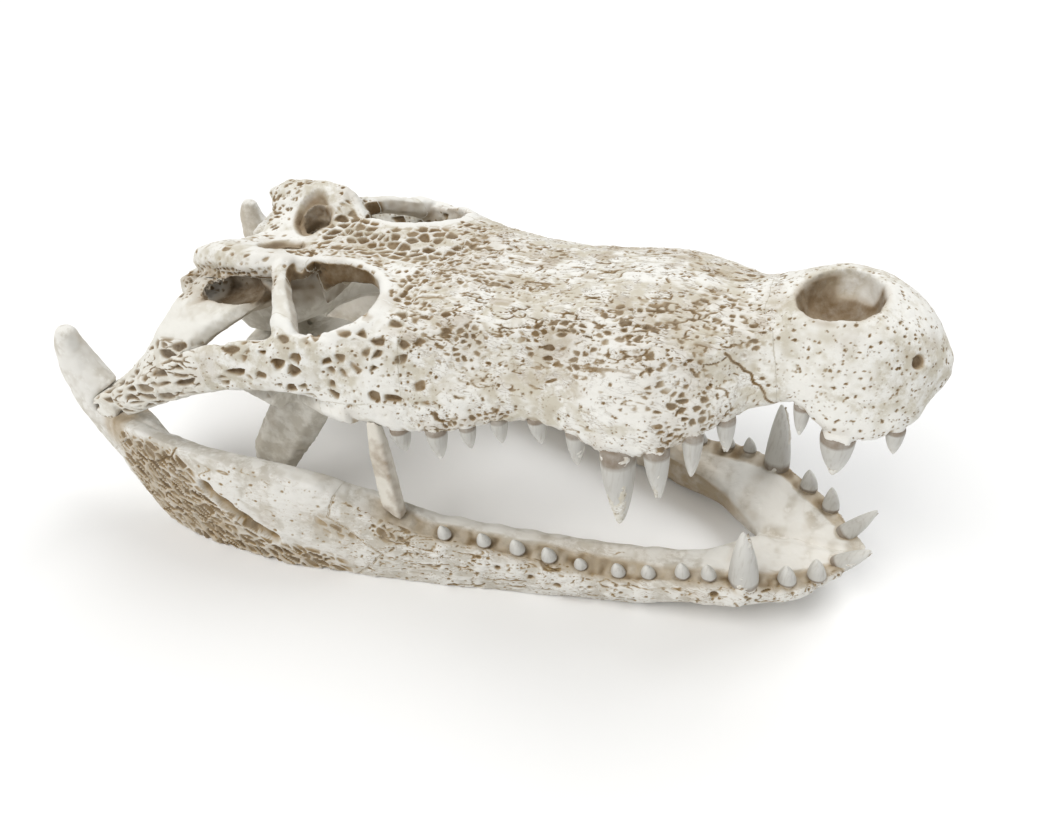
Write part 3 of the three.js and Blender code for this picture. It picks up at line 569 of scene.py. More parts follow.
def carveJaw(piece):
    points, normals = readMesh(piece)
    p = toJaw(points)
    x, y, z = p.T
    side = np.sign(y)
    flank = normals[:, 1] * side
    up = normals[:, 2]
    outer = ramp(0.0, 0.45, flank)
    patch = cloud(p / 20, 211)
    warp = np.stack([cloud(p / 12, 221), cloud(p / 12, 222), cloud(p / 12, 223)], 1)
    topLine = lowerJaw["margin"](x)

    aslant = np.stack([0.60 * x + 0.80 * z, y, -0.80 * x + 0.60 * z], 1)   # pits lie aslant at the rear corner
    corner = ramp(178, 150, x + z + 14 * patch) * ramp(12, 30, x) * ramp(86, 74, z - 0.12 * x)
    lowerEdge = ramp(36, 14, z + 6 * patch) * ramp(20, 40, x) * ramp(225, 165, x)
    crowd = hill(x - 222, 34) * hill(z - 56, 15) * ramp(-0.5, 0.3, patch)
    combZone = np.maximum(np.maximum(corner, lowerEdge), 0.8 * crowd) * outer
    dentary = ramp(196, 226, x) * outer
    middle = outer * (1 - combZone) * ramp(230, 200, x) * ramp(2, 20, x)
    turned = p + 2 * warp
    depth, pit = sunken([
        (combZone, jawRelief["honeycomb"], aslant + 2 * warp, comb, (6.0, 7.0, 11.5), 231, 0.97, 0.06, 0.22),
        (combZone * 0.5, 1.1, turned, comb, 4.2, 241, 0.4, 0.1, 0.45),
        (dentary, jawRelief["lines"], turned, creases, (22, 6, 3.4), 251),
        (dentary * (0.4 + 0.5 * ramp(-0.2, 0.5, patch)), jawRelief["lines"], turned,
         creases, (13, 5, 2.6), 253, 0.12),
        (middle * 0.35, 0.5, turned, creases, (30, 9, 7), 256, 0.04),
        (np.maximum(dentary * 0.8, middle * 0.4), jawRelief["small"], turned,
         pits, (5.4, 4.4, 4.4), 261, 0.0, 0.27, 0.1),
        (dentary * hill(z - topLine + 11, 5), 1.8, p, pits, (11, 9, 9), 271, 0.1, 0.26, 0.08),
    ])

    lift = 0.9 * cloud(p / 24, 281) + 0.4 * cloud(p / 8, 291) + 0.22 * cloud(p / 3, 301)
    streak = 1 - np.abs(cloud((p + 3 * warp) / (26, 6, 2.6), 311))
    lift += 0.55 * (ramp(0.6, 1.0, streak) - 0.25) * np.maximum(dentary, 0.6 * middle)

    # the filled window of the rear jaw, a slanting trough
    _, _, reach = besideLine(x, z, jawRelief["window"])
    reach += 1.6 * cloud(p / 6, 321)
    trough = ramp(jawRelief["windowWide"], 2.5, reach) * ramp(0.3, 0.6, flank)
    lift -= jawRelief["windowDepth"] * trough
    lift += jawRelief["windowRim"] * hill(reach - jawRelief["windowWide"] - 2, 3) * outer
    pit = np.maximum(pit, 0.8 * trough)

    lines = (*jawRelief["sutures"], jawRelief["rearSuture"])
    for line, deep, dark in zip(lines, jawRelief["sutureDepths"], jawRelief["sutureDarks"]):
        along, aside, gap = besideLine(x, z, line)
        seam = ramp(1.2, 0.3, np.abs(aside - suturePath(along, y, 60 * side))) * ramp(4, 2, gap) * outer
        lift -= deep * seam
        pit = np.maximum(pit, dark * seam)

    sockets, gapMask = socketRelief(p, lowerJaw)
    furrowCentre = lowerJaw["halfWidth"](x) - 11.5
    furrow = ramp(11, 6, np.abs(np.abs(y) - furrowCentre) + 2.5 * patch) * ramp(0.15, 0.6, up)
    furrow *= ramp(210, 236, x) * ramp(545, 532, x)
    scallop = cloud(p / (3.6, 9, 9), 331)
    lift += sockets + (0.9 * scallop - 1.6) * furrow

    # where tan and brown lie: stains, and painted shade on the rami's inner faces and on the far side's inner slope
    deck = ramp(0.4, 0.8, up) * ramp(450, 466, x)
    # painted shade: the inner faces of the rami are darkened, most near the chin, where the skull's shadow falls
    innerShade = ramp(0.1, -0.3, flank) * ramp(0.6, 0.2, up) * ramp(486, 440, x) * (0.35 + 0.65 * ramp(330, 400, x))
    slope = ramp(455, 405, x) * ramp(300, 330, x) * ramp(0, -4, np.abs(y) - lowerJaw["halfWidth"](x) + 18)
    # the far side's slope is darker than the near side's: painted shade over the tan wash
    slope *= np.where(y > 0, 1.0, 0.3)
    joint = ramp(34, 22, x) * ramp(-2, 8, x) * ramp(60, 80, z) * ramp(112, 100, z)
    stainAndShadeNoise = 0.72 + 0.28 * cloud(p / (5, 9, 9), 351) - 0.15 * scallop
    stainAndShade = strongest(
        (ramp(0.2, 0.8, cloud(p / 17, 341)), 0.20), (furrow * stainAndShadeNoise, 1.0), (gapMask, 0.85), (trough, 1.0),
        (joint * (0.5 + 0.5 * stainAndShadeNoise), 0.8), (innerShade, 0.8), (combZone * stainAndShadeNoise, 0.75),
        (slope * stainAndShadeNoise, 0.7), (deck, 0.12), (deck * ramp(0.0, 0.6, cloud(p / 11, 361)), 0.32))

    lift -= depth
    points += normals * (lift / 1000)[:, None]
    points[:, 2] = np.maximum(points[:, 2], 0)
    ridge = ramp(0.0, 0.8, lift + 0.25) * (1 - pit)
    # the stain layer carries the painted shade as well as the stains
    writeMesh(piece, points, pit=pit, stain=stainAndShade, ridge=ridge, creased=np.maximum(dentary, 0.35 * middle),
              porous=0.7 * np.maximum(dentary, middle))


# The sutures are thin wavy walls that part the fine mesh into bones again.
sutures = {
    "wander": 0.8,       # how far the walls stray, in millimetres, in long waves
    "jag": 0.45,         # and in short ones
    "over": 1.8,         # how far they run past each other
    "square": 2.2,       # grid squares of the wavy walls
    "plainSquare": 40,   # and of the plain ones
}


# A flat grid of unit size, its squares as small as the wall's sizes ask.
def unitGrid(sizes, square):
    counts = [max(2, int(size / square)) for size in sizes]
    bpy.ops.mesh.primitive_grid_add(x_subdivisions=counts[0], y_subdivisions=counts[1], size=1)
    piece = bpy.context.object
    applied(piece, "TRIANGULATE")
    return piece, readMesh(piece)[0]


# A thin wall between two corners, in millimetres, that runs on a little past its edges.
def boxWall(x, y, z, waves=True):
    low, high = np.array([x, y, z], float).T
    thin = int(np.argmin(high - low))
    flat = [k for k in range(3) if k != thin]
    low[flat] -= sutures["over"]
    high[flat] += sutures["over"]
    centre, size = (low + high) / 2, high - low
    piece, points = unitGrid(size[flat], sutures["square"] if waves else sutures["plainSquare"])
    place = np.zeros_like(points)
    place[:, flat] = points[:, :2] * size[flat]
    if waves:
        shift = place + sum(centre)
        place[:, thin] = sutures["wander"] * cloud(shift / 15, 401) + sutures["jag"] * cloud(shift / 5.5, 411)
    writeMesh(piece, place + centre)
    applied(piece, "SOLIDIFY", thickness=size[thin], offset=0)
    return piece


# The two faces of a suture at one place.
def slit(place):
    half = mesh["seam"] * 500   # in millimetres
    return (place - half, place + half)


# How far a bent suture strays sideways, by its length along and the place across it.
def suturePath(along, third, salt):
    shift = np.stack([along, third, along * 0 + salt], 1)
    return sutures["wander"] * cloud(shift / 15, 421) + sutures["jag"] * cloud(shift / 5.5, 431)


# A wall that follows a line of points in one plane, through a span of the third axis.
def ribbon(line, plane, span):
    ends = np.array(line, float)
    steps = np.linalg.norm(np.diff(ends, axis=0), axis=1)
    ends[0] -= (ends[1] - ends[0]) / steps[0] * sutures["over"]
    ends[-1] += (ends[-1] - ends[-2]) / steps[-1] * sutures["over"]
    reach = np.concatenate([[0], np.cumsum(np.linalg.norm(np.diff(ends, axis=0), axis=1))])
    piece, points = unitGrid((reach[-1], span[1] - span[0]), sutures["square"])
    along = (points[:, 0] + 0.5) * reach[-1]
    third = span[0] + (points[:, 1] + 0.5) * (span[1] - span[0])
    first, second = (np.interp(along, reach, ends[:, k]) for k in (0, 1))
    stray = suturePath(along - sutures["over"], third, 0 if plane == "xy" else 60 * np.sign(sum(span)))
    ahead = np.stack([np.interp(along + side, reach, ends[:, k]) for side in (-3, 3) for k in (0, 1)], 1)
    way = np.arctan2(ahead[:, 3] - ahead[:, 1], ahead[:, 2] - ahead[:, 0])
    first = first - np.sin(way) * stray
    second = second + np.cos(way) * stray
    place = np.stack([first, second, third] if plane == "xy" else [first, third, second], 1)
    writeMesh(piece, place)
    applied(piece, "SOLIDIFY", thickness=mesh["seam"] * 1000, offset=0)
    return piece


# Height of the snout's roof along its middle.
roofLine = smooth([[228, 60], [270, 58], [340, 54], [400, 56], [432, 49], [456, 46], [478, 50]])


# Unites the walls, and takes them from millimetres to their place in the scene.
def united(walls, name, turn, shift):
    whole = walls[0]
    for other in walls[1:]:
        applied(whole, "BOOLEAN", object=other, operation="UNION", solver="MANIFOLD")
        bpy.data.objects.remove(other)
    whole.name = name
    points, _ = readMesh(whole)
    writeMesh(whole, points / 1000 @ turn.T + shift)
    return whole


def skullWalls():
    low, high = -62, 84
    bed = [(place, float(roofLine(place)) - 11) for place in (250, 275, 300, 350, 400, 430, 456, 463)]
    walls = [
        ribbon(skullRelief["noseParting"], "xy", (low, high)),
        ribbon(bed, "xz", (-15.8, 15.8)),
        boxWall((250, 462), slit(-14), (34, high)),
        boxWall((250, 462), slit(14), (34, high)),
        boxWall(slit(250), (-62, 62), (low, high)),
        boxWall((200, 250), (-62, 62), slit(30), waves=False),
        boxWall(slit(160), (-59, 59), (5, 105)),
        boxWall(slit(112), (-59, 59), (-40, -0.5), waves=False),
        boxWall((40, 160), (-59, 59), slit(63), waves=False),
        boxWall((40, 160), (-46, 46), slit(0), waves=False),
        boxWall((40, 112), slit(0), (-40, 0), waves=False),
    ]
    for (start, first), (end, second) in zip(bed[:-1], bed[1:]):
        walls.append(boxWall((start, end), slit(0), (low, max(first, second)), waves=False))
    for way in (1, -1):
        def span(a, b):
            return tuple(sorted((way * a, way * b)))
        walls += [
            boxWall(slit(250), span(62, 140), (6, high)),
            boxWall((150, 250), span(62, 140), slit(6)),
            boxWall((216, 250), slit(way * 62), (low, high)),
            boxWall((40, 160), slit(way * 44), (-2, 63), waves=False),
            boxWall(slit(184), span(68, 102), (-40, 6)),
            boxWall((158, 200), slit(way * 88), (38, 75), waves=False),
            boxWall(slit(112), span(96, 135), (-30, 60)),
            boxWall((40, 160), slit(way * 59), (63, 105), waves=False),
        ]
    return united(walls, "skullSeams", np.array(skullMatrix.to_3x3()), np.array(skullMatrix.translation))


def jawWalls():
    walls = [boxWall((430, 570), slit(0), (-12, 70))]
    for side in (1, -1):
        span = tuple(sorted((side * 60, side * 170)))
        walls += [ribbon(line, "xz", span) for line in jawRelief["sutures"]]
    return united(walls, "jawSeams", np.eye(3), jointPlace)


# Cuts the fine mesh along its walls and hands each part to the CAD node that it lies on.
def parted(piece, walls, nodes):
    applied(piece, "BOOLEAN", object=walls, operation="DIFFERENCE", solver="MANIFOLD")
    bpy.data.objects.remove(walls)
    selectOnly(piece)
    bpy.ops.mesh.separate(type="LOOSE")
    parts = list(bpy.context.selected_objects)
    boxes = {node: [np.array(corner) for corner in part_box(node)] for node in nodes}
    held = {node: [] for node in nodes}
    for part in parts:
        points, _ = readMesh(part)
        low, high = points.min(0), points.max(0)
        if len(points) < mesh["crumb"]:
            bpy.data.objects.remove(part)
            continue
        misfit = {node: np.abs(low - box[0]).sum() + np.abs(high - box[1]).sum() for node, box in boxes.items()}
        held[min(misfit, key=misfit.get)].append(part)
    bones = {}
    for node, found in held.items():
        print("bone", node, [len(part.data.polygons) for part in found])
        if not found:
            raise RuntimeError(f"no part of the fine mesh lies on {node}")
        bone = joined(found, "bone_" + node)
        bpy.ops.object.shade_smooth_by_angle(angle=math.radians(mesh["creaseAngle"]))
        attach(bone, "root")
        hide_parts(node)
        bones[node] = bone
    return bones


# An empty shader group. An input with no value is a vector, and every other socket is a number.
def nodeGroup(name, inputs, outputs):
    group = bpy.data.node_groups.new(name, "ShaderNodeTree")
    for label, value in inputs.items():
        kind = "NodeSocketVector" if value is None else "NodeSocketFloat"
        socket = group.interface.new_socket(label, in_out="INPUT", socket_type=kind)
        if value is not None:
            socket.default_value = value
    for label in outputs:
        group.interface.new_socket(label, in_out="OUTPUT", socket_type="NodeSocketFloat")
    return group, group.nodes.new("NodeGroupInput"), group.nodes.new("NodeGroupOutput")


# A shader node with plain values and links by socket name, or by number as i0, i1 and i2.
def addNode(tree, kind, values=None, **links):
    node = tree.nodes.new("ShaderNode" + kind)
    for key, value in (values or {}).items():
        if isinstance(key, str) and key in node.bl_rna.properties:
            setattr(node, key, value)
        else:
            node.inputs[key].default_value = value
    for key, source in links.items():
        tree.links.new(source, node.inputs[int(key[1:]) if key[0] == "i" else key])
    return node


# A plain value for a socket, or a link to it.
def feed(tree, socket, source):
    if isinstance(source, (float, tuple)):
        socket.default_value = source
    else:
        tree.links.new(source, socket)


# A Math node from sockets and plain numbers.
def worked(tree, operation, *sources, clamp=False):
    node = addNode(tree, "Math", {"operation": operation, "use_clamp": clamp})
    for number, source in enumerate(sources):
        feed(tree, node.inputs[number], source)
    return node.outputs[0]


# A Map Range node that turns low to high into start to end.
def ranged(tree, source, low, high, start=0.0, end=1.0):
    values = {"From Min": low, "From Max": high, "To Min": start, "To Max": end}
    return addNode(tree, "MapRange", values, Value=source).outputs[0]


def noise(tree, place, scale, detail, roughness=0.5):
    values = {"Scale": scale, "Detail": detail, "Roughness": roughness}
    return addNode(tree, "TexNoise", values, Vector=place).outputs


# Fine bone surface: mottling for the colour, thin creases, pinholes, and a height of them all.
def makeGrainGroup():
    inputs = {"Vector": None, "Creases": 0.0, "Pinholes": 0.5}
    group, start, end = nodeGroup("boneGrain", inputs, ("Mottle", "Mark", "Height"))
    place = start.outputs["Vector"]
    mottle = noise(group, place, 95.0, 5.0, 0.62)["Fac"]
    fine = noise(group, place, 700.0, 4.0, 0.62)["Fac"]
    bent = noise(group, place, 70.0, 2.0)["Color"]
    push = addNode(group, "VectorMath", {"operation": "SCALE", "Scale": 0.006}, i0=bent)
    moved = addNode(group, "VectorMath", {"operation": "ADD"}, i0=place, i1=push.outputs[0]).outputs[0]
    long = addNode(group, "Mapping", {"Scale": (0.2, 1.0, 1.0), "Rotation": (0.0, math.radians(8), 0.0)},
                   Vector=moved)
    threads = noise(group, long.outputs[0], 430.0, 2.0)["Fac"]
    away = worked(group, "ABSOLUTE", worked(group, "SUBTRACT", threads, 0.5))
    thread = ranged(group, away, 0.0, 0.035, 1.0, 0.0)
    crease = worked(group, "MULTIPLY", thread, ranged(group, mottle, 0.46, 0.58))
    creased = worked(group, "MULTIPLY", crease, start.outputs["Creases"])
    holes = addNode(group, "TexVoronoi", {"Scale": 420.0, "Randomness": 1.0}, Vector=moved)
    hole = ranged(group, holes.outputs["Distance"], 0.12, 0.34, 1.0, 0.0)
    where = ranged(group, noise(group, place, 150.0, 2.0)["Fac"], 0.50, 0.62)
    specks = worked(group, "MULTIPLY", worked(group, "MULTIPLY", hole, where), start.outputs["Pinholes"])
    mark = worked(group, "MAXIMUM", specks, creased)
    group.links.new(mottle, end.inputs["Mottle"])
    group.links.new(mark, end.inputs["Mark"])
    group.links.new(worked(group, "MULTIPLY_ADD", mark, -2.0, fine), end.inputs["Height"])
    return group


# Brown wash that gathers in the pits, and the stain, which on the bones also carries painted shade: how much of it
# lies on each spot, and where it is darkest.
def makeWashGroup():
    group, start, end = nodeGroup("pitWash", {"Pit": 0.0, "Stain": 0.0, "Mottle": 0.5}, ("Wash", "Deep"))
    pit, stain = start.outputs["Pit"], start.outputs["Stain"]
    wave = ranged(group, start.outputs["Mottle"], 0.35, 0.62, 0.62, 1.0)
    both = worked(group, "MAXIMUM", ranged(group, pit, 0.07, 0.52), stain)
    low = ranged(group, pit, 0.45, 0.95, 0.0, 0.9)
    deepest = worked(group, "MAXIMUM", low, ranged(group, stain, 0.70, 1.0, 0.0, 0.75))
    group.links.new(worked(group, "MULTIPLY", both, wave), end.inputs["Wash"])
    group.links.new(worked(group, "MULTIPLY", deepest, wave), end.inputs["Deep"])
    return group


def placeGroup(tree, group, **sources):
    node = tree.nodes.new("ShaderNodeGroup")
    node.node_tree = group
    for label, source in sources.items():
        feed(tree, node.inputs[label], source)
    return node


def newMaterial(name, roughness):
    material = bpy.data.materials.new(name)
    material.use_nodes = True
    tree = material.node_tree
    tree.nodes.clear()
    output = tree.nodes.new("ShaderNodeOutputMaterial")
    shader = addNode(tree, "BsdfPrincipled", {"Roughness": roughness, "Specular IOR Level": 0.35})
    tree.links.new(shader.outputs[0], output.inputs["Surface"])
    place = tree.nodes.new("ShaderNodeTexCoord").outputs["Object"]
    return material, tree, shader, place


# A colour laid over a colour or a socket, as thick as an amount says.
def layered(tree, under, over, amount):
    node = addNode(tree, "Mix", {"data_type": "RGBA", 7: (*over, 1)}, i0=amount)
    feed(tree, node.inputs[6], (*under, 1) if isinstance(under, tuple) else under)
    return node.outputs[2]


# Colour and bump of a finished material, the bump's strength and its height in metres.
def finished(tree, shader, colour, height, strength, distance):
    bump = addNode(tree, "Bump", {"Strength": strength, "Distance": distance}, Height=height)
    tree.links.new(colour, shader.inputs["Base Color"])
    tree.links.new(bump.outputs[0], shader.inputs["Normal"])


boneFinishes = {
    "weatheredBone": {"base": (0.60, 0.56, 0.465), "chalk": (0.83, 0.82, 0.775), "tan": (0.30, 0.20, 0.09),
                      "brown": (0.105, 0.06, 0.023), "pinholes": 1.0, "marks": 0.9, "bump": 0.6},
    "smoothBone": {"base": (0.68, 0.65, 0.575), "chalk": (0.80, 0.785, 0.73), "tan": (0.30, 0.21, 0.11),
                   "brown": (0.075, 0.048, 0.025), "pinholes": 0.25, "marks": 0.5, "bump": 0.25},
    "shadedBone": {"base": (0.60, 0.565, 0.49), "chalk": (0.78, 0.755, 0.69), "tan": (0.25, 0.17, 0.09),
                   "brown": (0.09, 0.055, 0.025), "pinholes": 0.5, "marks": 0.7, "bump": 0.35},
    "jawBone": {"base": (0.56, 0.525, 0.455), "chalk": (0.78, 0.765, 0.72), "tan": (0.36, 0.25, 0.115),
                "brown": (0.09, 0.052, 0.022), "pinholes": 0.7, "marks": 0.85, "bump": 0.5},
}


def boneMaterial(name, grainGroup, washGroup):
    finish = boneFinishes[name]
    material, tree, shader, place = newMaterial(name, 0.62)
    # the stain layer holds the real stains and the painted shade alike, laid on in tan and brown
    layer = {label: addNode(tree, "Attribute", {"attribute_name": label}).outputs["Fac"]
             for label in ("pit", "stain", "ridge", "creased", "porous")}
    holes = worked(tree, "MULTIPLY", layer["porous"], finish["pinholes"])
    grain = placeGroup(tree, grainGroup, Vector=place, Creases=layer["creased"], Pinholes=holes)
    mottle = grain.outputs["Mottle"]
    wash = placeGroup(tree, washGroup, Pit=layer["pit"], Stain=layer["stain"], Mottle=mottle)
    chalk = worked(tree, "MAXIMUM", ranged(tree, mottle, 0.44, 0.60), layer["ridge"])
    colour = layered(tree, finish["base"], finish["chalk"], chalk)
    colour = layered(tree, colour, finish["tan"], wash.outputs["Wash"])
    colour = layered(tree, colour, finish["brown"], wash.outputs["Deep"])
    marks = worked(tree, "MULTIPLY", grain.outputs["Mark"], finish["marks"])
    colour = layered(tree, colour, finish["tan"], marks)
    tree.links.new(ranged(tree, mottle, 0.0, 1.0, 0.5, 0.8), shader.inputs["Roughness"])
    finished(tree, shader, colour, grain.outputs["Height"], finish["bump"], 0.0005)
    return material


toothFinish = {
    "enamel": (0.56, 0.55, 0.515),
    "pale": (0.72, 0.71, 0.67),
    "root": (0.25, 0.20, 0.15),
    "crack": (0.30, 0.26, 0.20),
    "roughness": 0.38,
    "bump": 0.12,
}


def toothMaterial(grainGroup):
    material, tree, shader, place = newMaterial("toothEnamel", toothFinish["roughness"])
    height = addNode(tree, "Attribute", {"attribute_name": "rise"}).outputs["Fac"]
    grain = placeGroup(tree, grainGroup, Pinholes=0.15, Vector=place)
    stretch = addNode(tree, "Mapping", {"Scale": (1.0, 1.0, 0.12)}, Vector=place)
    streaks = noise(tree, stretch.outputs[0], 520.0, 3.0)["Fac"]
    colour = layered(tree, toothFinish["enamel"], toothFinish["pale"], ranged(tree, height, 0.45, 1.0))
    cracks = worked(tree, "MULTIPLY", ranged(tree, streaks, 0.5, 0.75), 0.35)
    colour = layered(tree, colour, toothFinish["crack"], cracks)
    # the tooth is darker just above the bone, at its neck
    neckDark = worked(tree, "MULTIPLY", ranged(tree, height, 0.20, 0.14), grain.outputs["Mottle"])
    colour = layered(tree, colour, toothFinish["root"], worked(tree, "MULTIPLY", neckDark, 1.7, clamp=True))
    finished(tree, shader, colour, streaks, toothFinish["bump"], 0.0004)
    return material


propFinish = {
    "paint": (0.62, 0.58, 0.50),
    "pale": (0.76, 0.73, 0.66),
    "stain": (0.32, 0.24, 0.16),
    "roughness": 0.6,
    "bump": 0.25,
}


def propMaterial(grainGroup, washGroup):
    material, tree, shader, place = newMaterial("propPaint", propFinish["roughness"])
    grain = placeGroup(tree, grainGroup, Pinholes=0.4, Vector=place)
    stain = ranged(tree, noise(tree, place, 60.0, 4.0)["Fac"], 0.50, 0.66, 0.0, 0.8)
    wash = placeGroup(tree, washGroup, Stain=stain, Mottle=grain.outputs["Mottle"])
    colour = layered(tree, propFinish["paint"], propFinish["pale"], grain.outputs["Mottle"])
    colour = layered(tree, colour, propFinish["stain"], wash.outputs["Wash"])
    finished(tree, shader, colour, grain.outputs["Height"], propFinish["bump"], 0.0006)
    return material


toothShape = {
    "sides": 18,
    "sunk": 0.16,        # share of the length below the bone
    "bend": 0.14,        # how far the tip hooks back, as a share of the length
    # pairs of a share of the length and a share of the width
    "profile": [(0.0, 0.96), (0.10, 1.0), (0.24, 0.98), (0.42, 0.88), (0.60, 0.73), (0.75, 0.55), (0.87, 0.36),
                (0.95, 0.21), (1.0, 0.08)],
}


# One tooth of unit length and width, its root at the origin and its tip up.
def makeMasterTooth():
    profile = toothShape["profile"]
    bpy.ops.mesh.primitive_cylinder_add(vertices=toothShape["sides"], radius=0.5, depth=1, location=(0, 0, 0.5))
    tooth = bpy.context.object
    bpy.ops.object.transform_apply(location=True, rotation=False, scale=False)
    bpy.ops.object.mode_set(mode="EDIT")
    for share, _ in profile[1:-1]:
        bpy.ops.mesh.select_all(action="SELECT")
        bpy.ops.mesh.bisect(plane_co=(0, 0, share), plane_no=(0, 0, 1))
    bpy.ops.object.mode_set(mode="OBJECT")
    points, _ = readMesh(tooth)
    shares, widths = np.array(profile).T
    rise = np.clip(points[:, 2], 0, 1)
    width = np.interp(rise, shares, widths)
    angle = np.arctan2(points[:, 1], points[:, 0])
    flute = 1 + 0.025 * np.cos(angle * 6) * ramp(0.9, 0.3, rise)
    points[:, 0] = points[:, 0] * width * flute - toothShape["bend"] * rise ** 2
    points[:, 1] = points[:, 1] * width * flute * 0.92
    writeMesh(tooth, points, rise=rise)
    applied(tooth, "SUBSURF", levels=1, render_levels=1)
    bpy.ops.object.shade_smooth()
    return tooth


# A row of teeth on one side of a jaw, each a copy with its own small lean and width.
def makeToothRow(master, jaw, side, name, matrix, bodyMaterial):
    row = []
    for number, (root, way, length, width) in enumerate(toothPlaces(jaw, side)):
        luck = [float(chance(np.array([number]), np.array([side]), np.array([k]), 501 + jaw["inset"])[0])
                for k in range(3)]
        tooth = newPiece("tooth", master.data.copy())
        full = length / (1 - toothShape["sunk"])
        lean = (way + Vector((0.05 * (luck[0] - 0.5), 0.08 * (luck[1] - 0.5), 0))).normalized()
        turn = Vector((0, 0, 1)).rotation_difference(lean).to_matrix().to_4x4()
        start = root - lean * full * toothShape["sunk"]
        size = Matrix.Diagonal((width * (1.04 + 0.06 * luck[2]), width * 1.04, full, 1))
        place = Matrix.Translation(start) @ turn @ size
        tooth.data.transform(matrix @ Matrix.Scale(0.001, 4) @ place)
        row.append(tooth)
    piece = joined(row, name)
    edited(bpy.ops.mesh.normals_make_consistent, inside=False)
    bpy.ops.object.shade_smooth()
    piece.data.materials.append(bodyMaterial)
    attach(piece, "root")


stage("fine mesh of the skull")
skullNodes = [node for node in frame["nodes"] if not node.startswith(("dentary", "angular", "articular", "stand_"))]
skull = fineCopy(skullNodes, "skull")
# the broad faces and the snout's tip lose their facets; the teeth's margin and the nostril keep their shape
place = toSkull(readMesh(skull)[0])
aboveTeeth = place[:, 2] - upperJaw["margin"](place[:, 0])
broad = ramp(246, 270, place[:, 0]) * ramp(9, 18, aboveTeeth)
hollow = np.linalg.norm(place - np.array(skullRelief["hollow"]), axis=1)
broad *= ramp(28, 36, hollow)
tip = ramp(500, 520, place[:, 0]) * ramp(28, 36, hollow)
tip *= ramp(8, 16, aboveTeeth + 2 * np.maximum(0, place[:, 0] - 546))
soften(skull, broad=broad, tip=tip)
stage("relief of the skull")
carveSkull(skull)
stage("sutures of the skull")
bones = parted(skull, skullWalls(), skullNodes)

stage("lower jaw")
jawNodes = [f"{part}_{label}" for part in ("dentary", "angular", "articular") for label in ("right", "left")]
jaw = fineCopy(jawNodes, "jaw")
points, normals = readMesh(jaw)
place = toJaw(points)
belowTop = lowerJaw["margin"](place[:, 0]) - place[:, 2]
broad = ramp(30, 50, place[:, 0]) * ramp(545, 520, place[:, 0]) * ramp(5, 14, belowTop) * ramp(2, 8, place[:, 2])
broad *= ramp(0.1, 0.4, np.abs(normals[:, 1]))
broad = np.maximum(broad, 0.35 * ramp(24, 4, place[:, 0]))
soften(jaw, broad=broad)
carveJaw(jaw)
bones.update(parted(jaw, jawWalls(), jawNodes))

stage("materials")
grainGroup = makeGrainGroup()
washGroup = makeWashGroup()
finishes = {name: boneMaterial(name, grainGroup, washGroup) for name in boneFinishes}
finishOf = {"weathered_bone": "weatheredBone", "smooth_bone": "smoothBone", "shaded_bone": "shadedBone",
            "jaw_bone": "jawBone"}
slots = {entry["node"]: entry["material_slot"] for entry in frame["record"]["subparts"]}
for node, bone in bones.items():
    bone.data.materials.clear()
    bone.data.materials.append(finishes[finishOf[slots[node]]])

stage("teeth")
enamel = toothMaterial(grainGroup)
masterTooth = makeMasterTooth()
for side, label in ((-1, "right"), (1, "left")):
    makeToothRow(masterTooth, upperJaw, side, f"teeth_upper_{label}", skullMatrix, enamel)
    makeToothRow(masterTooth, lowerJaw, side, f"teeth_lower_{label}", jawMatrix, enamel)
bpy.data.objects.remove(masterTooth)

propShape = {
    "voxel": 0.0008,     # size of the fine mesh's squares
    "softRounds": 45,
    "waves": 0.25,       # unevenness in millimetres, broad and fine
    "rough": 0.12,
}
stage("props")
paint = propMaterial(grainGroup, washGroup)
for label in ("right", "left"):
    node = f"stand_prop_{label}"
    prop = nodeCopy(node, f"prop_{label}")
    selectOnly(prop)
    edited(bpy.ops.mesh.remove_doubles, threshold=mesh["merge"])
    applied(prop, "REMESH", mode="VOXEL", voxel_size=propShape["voxel"])
    applied(prop, "SMOOTH", factor=0.5, iterations=propShape["softRounds"])
    points, normals = readMesh(prop)
    uneven = propShape["waves"] * cloud(points * 1000 / 5, 601) + propShape["rough"] * cloud(points * 1000 / 2, 602)
    points += normals * uneven[:, None] / 1000
    writeMesh(prop, points)
    bpy.ops.object.shade_smooth()
    prop.data.materials.append(paint)
    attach(prop, "root")
    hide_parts(node)

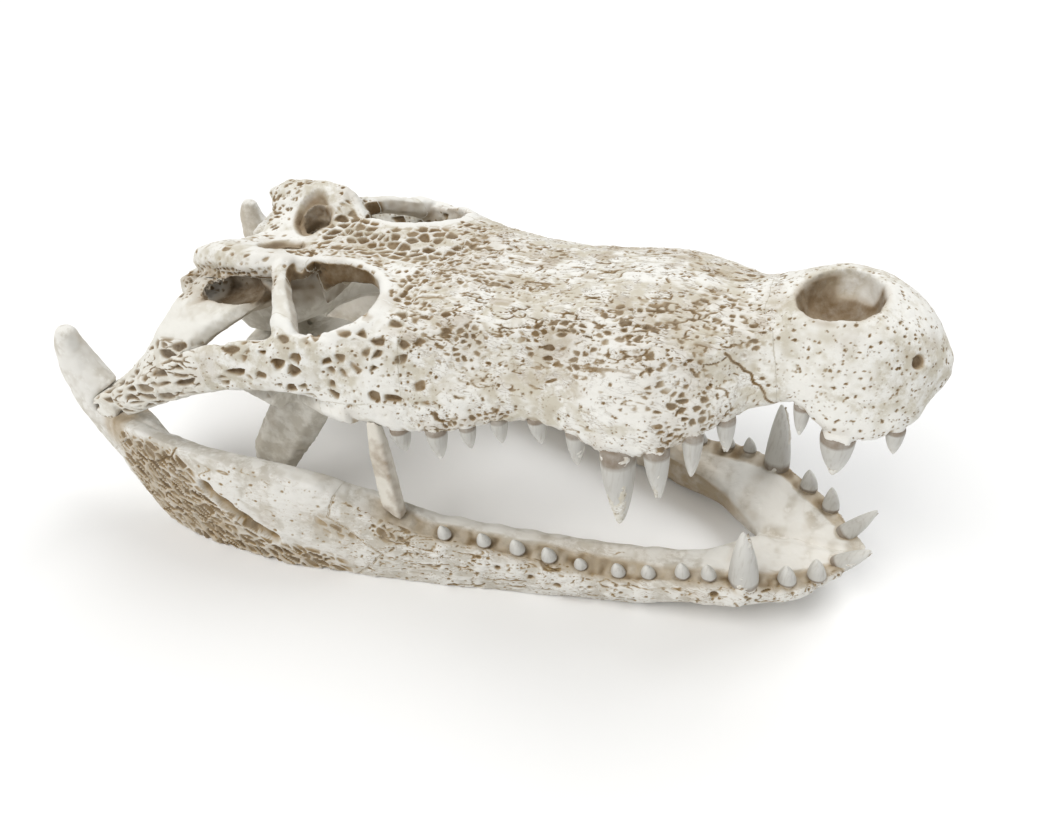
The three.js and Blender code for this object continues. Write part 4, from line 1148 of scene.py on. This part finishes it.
studio = {
    "floorSize": 14,
    "floorHeight": -0.0002,
    "floorColour": (0.93, 0.93, 0.925),
    "worldStrength": 0.40,
    # where each lamp shines from, its strength, softness in degrees and colour
    "lamps": [
        ("keyLight", (-0.42, -0.66, 1.0), 1.75, 38, (1.0, 0.99, 0.97)),
        ("backLight", (0.25, 0.75, 1.1), 1.4, 40, (0.98, 0.99, 1.0)),
    ],
}
stage("floor, light and camera")
deselect()
bpy.ops.mesh.primitive_plane_add(size=studio["floorSize"], location=(0, 0, studio["floorHeight"]))
floor = bpy.context.object
floor.name = "floor"
floorMaterial, _, floorShader, _ = newMaterial("paleFloor", 0.9)
floorShader.inputs["Base Color"].default_value = (*studio["floorColour"], 1)
floor.data.materials.append(floorMaterial)

# the world lights softly, and shows as a white wall behind the floor
world = bpy.data.worlds.new("studio")
bpy.context.scene.world = world
world.use_nodes = True
sky = world.node_tree
softLight = sky.nodes["Background"]
softLight.inputs["Color"].default_value = (1, 1, 1, 1)
softLight.inputs["Strength"].default_value = studio["worldStrength"]
whiteWall = addNode(sky, "Background", {"Color": (1, 1, 1, 1), "Strength": 1.0})
seen = sky.nodes.new("ShaderNodeLightPath")
bothWays = addNode(sky, "MixShader", i0=seen.outputs["Is Camera Ray"], i1=softLight.outputs[0],
                   i2=whiteWall.outputs[0])
sky.links.new(bothWays.outputs[0], sky.nodes["World Output"].inputs["Surface"])
for name, spot, strength, softness, colour in studio["lamps"]:
    bpy.ops.object.light_add(type="SUN", location=spot)
    lamp = bpy.context.object
    lamp.name = name
    lamp.data.energy = strength
    lamp.data.angle = math.radians(softness)
    lamp.data.color = colour
    lamp.rotation_euler = (-Vector(spot)).to_track_quat("-Z", "Y").to_euler()

cameraView = {
    "place": (0.481 + pose["jointAlong"], -0.447, 0.501),
    "yaw": 22.9,
    "down": 40.4,
    "lens": 28.96,
}
bpy.ops.object.camera_add(location=cameraView["place"])
camera = bpy.context.object
camera.data.sensor_width = 36
camera.data.sensor_fit = "HORIZONTAL"
camera.data.lens = cameraView["lens"]
camera.rotation_euler = (math.radians(90 - cameraView["down"]), 0, math.radians(cameraView["yaw"]))
bpy.context.scene.camera = camera
bpy.context.scene.view_settings.view_transform = "Standard"

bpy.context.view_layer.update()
total = sum(len(piece.data.polygons) for piece in bpy.data.objects if piece.type == "MESH" and not piece.hide_render)
print("faces in all:", total)
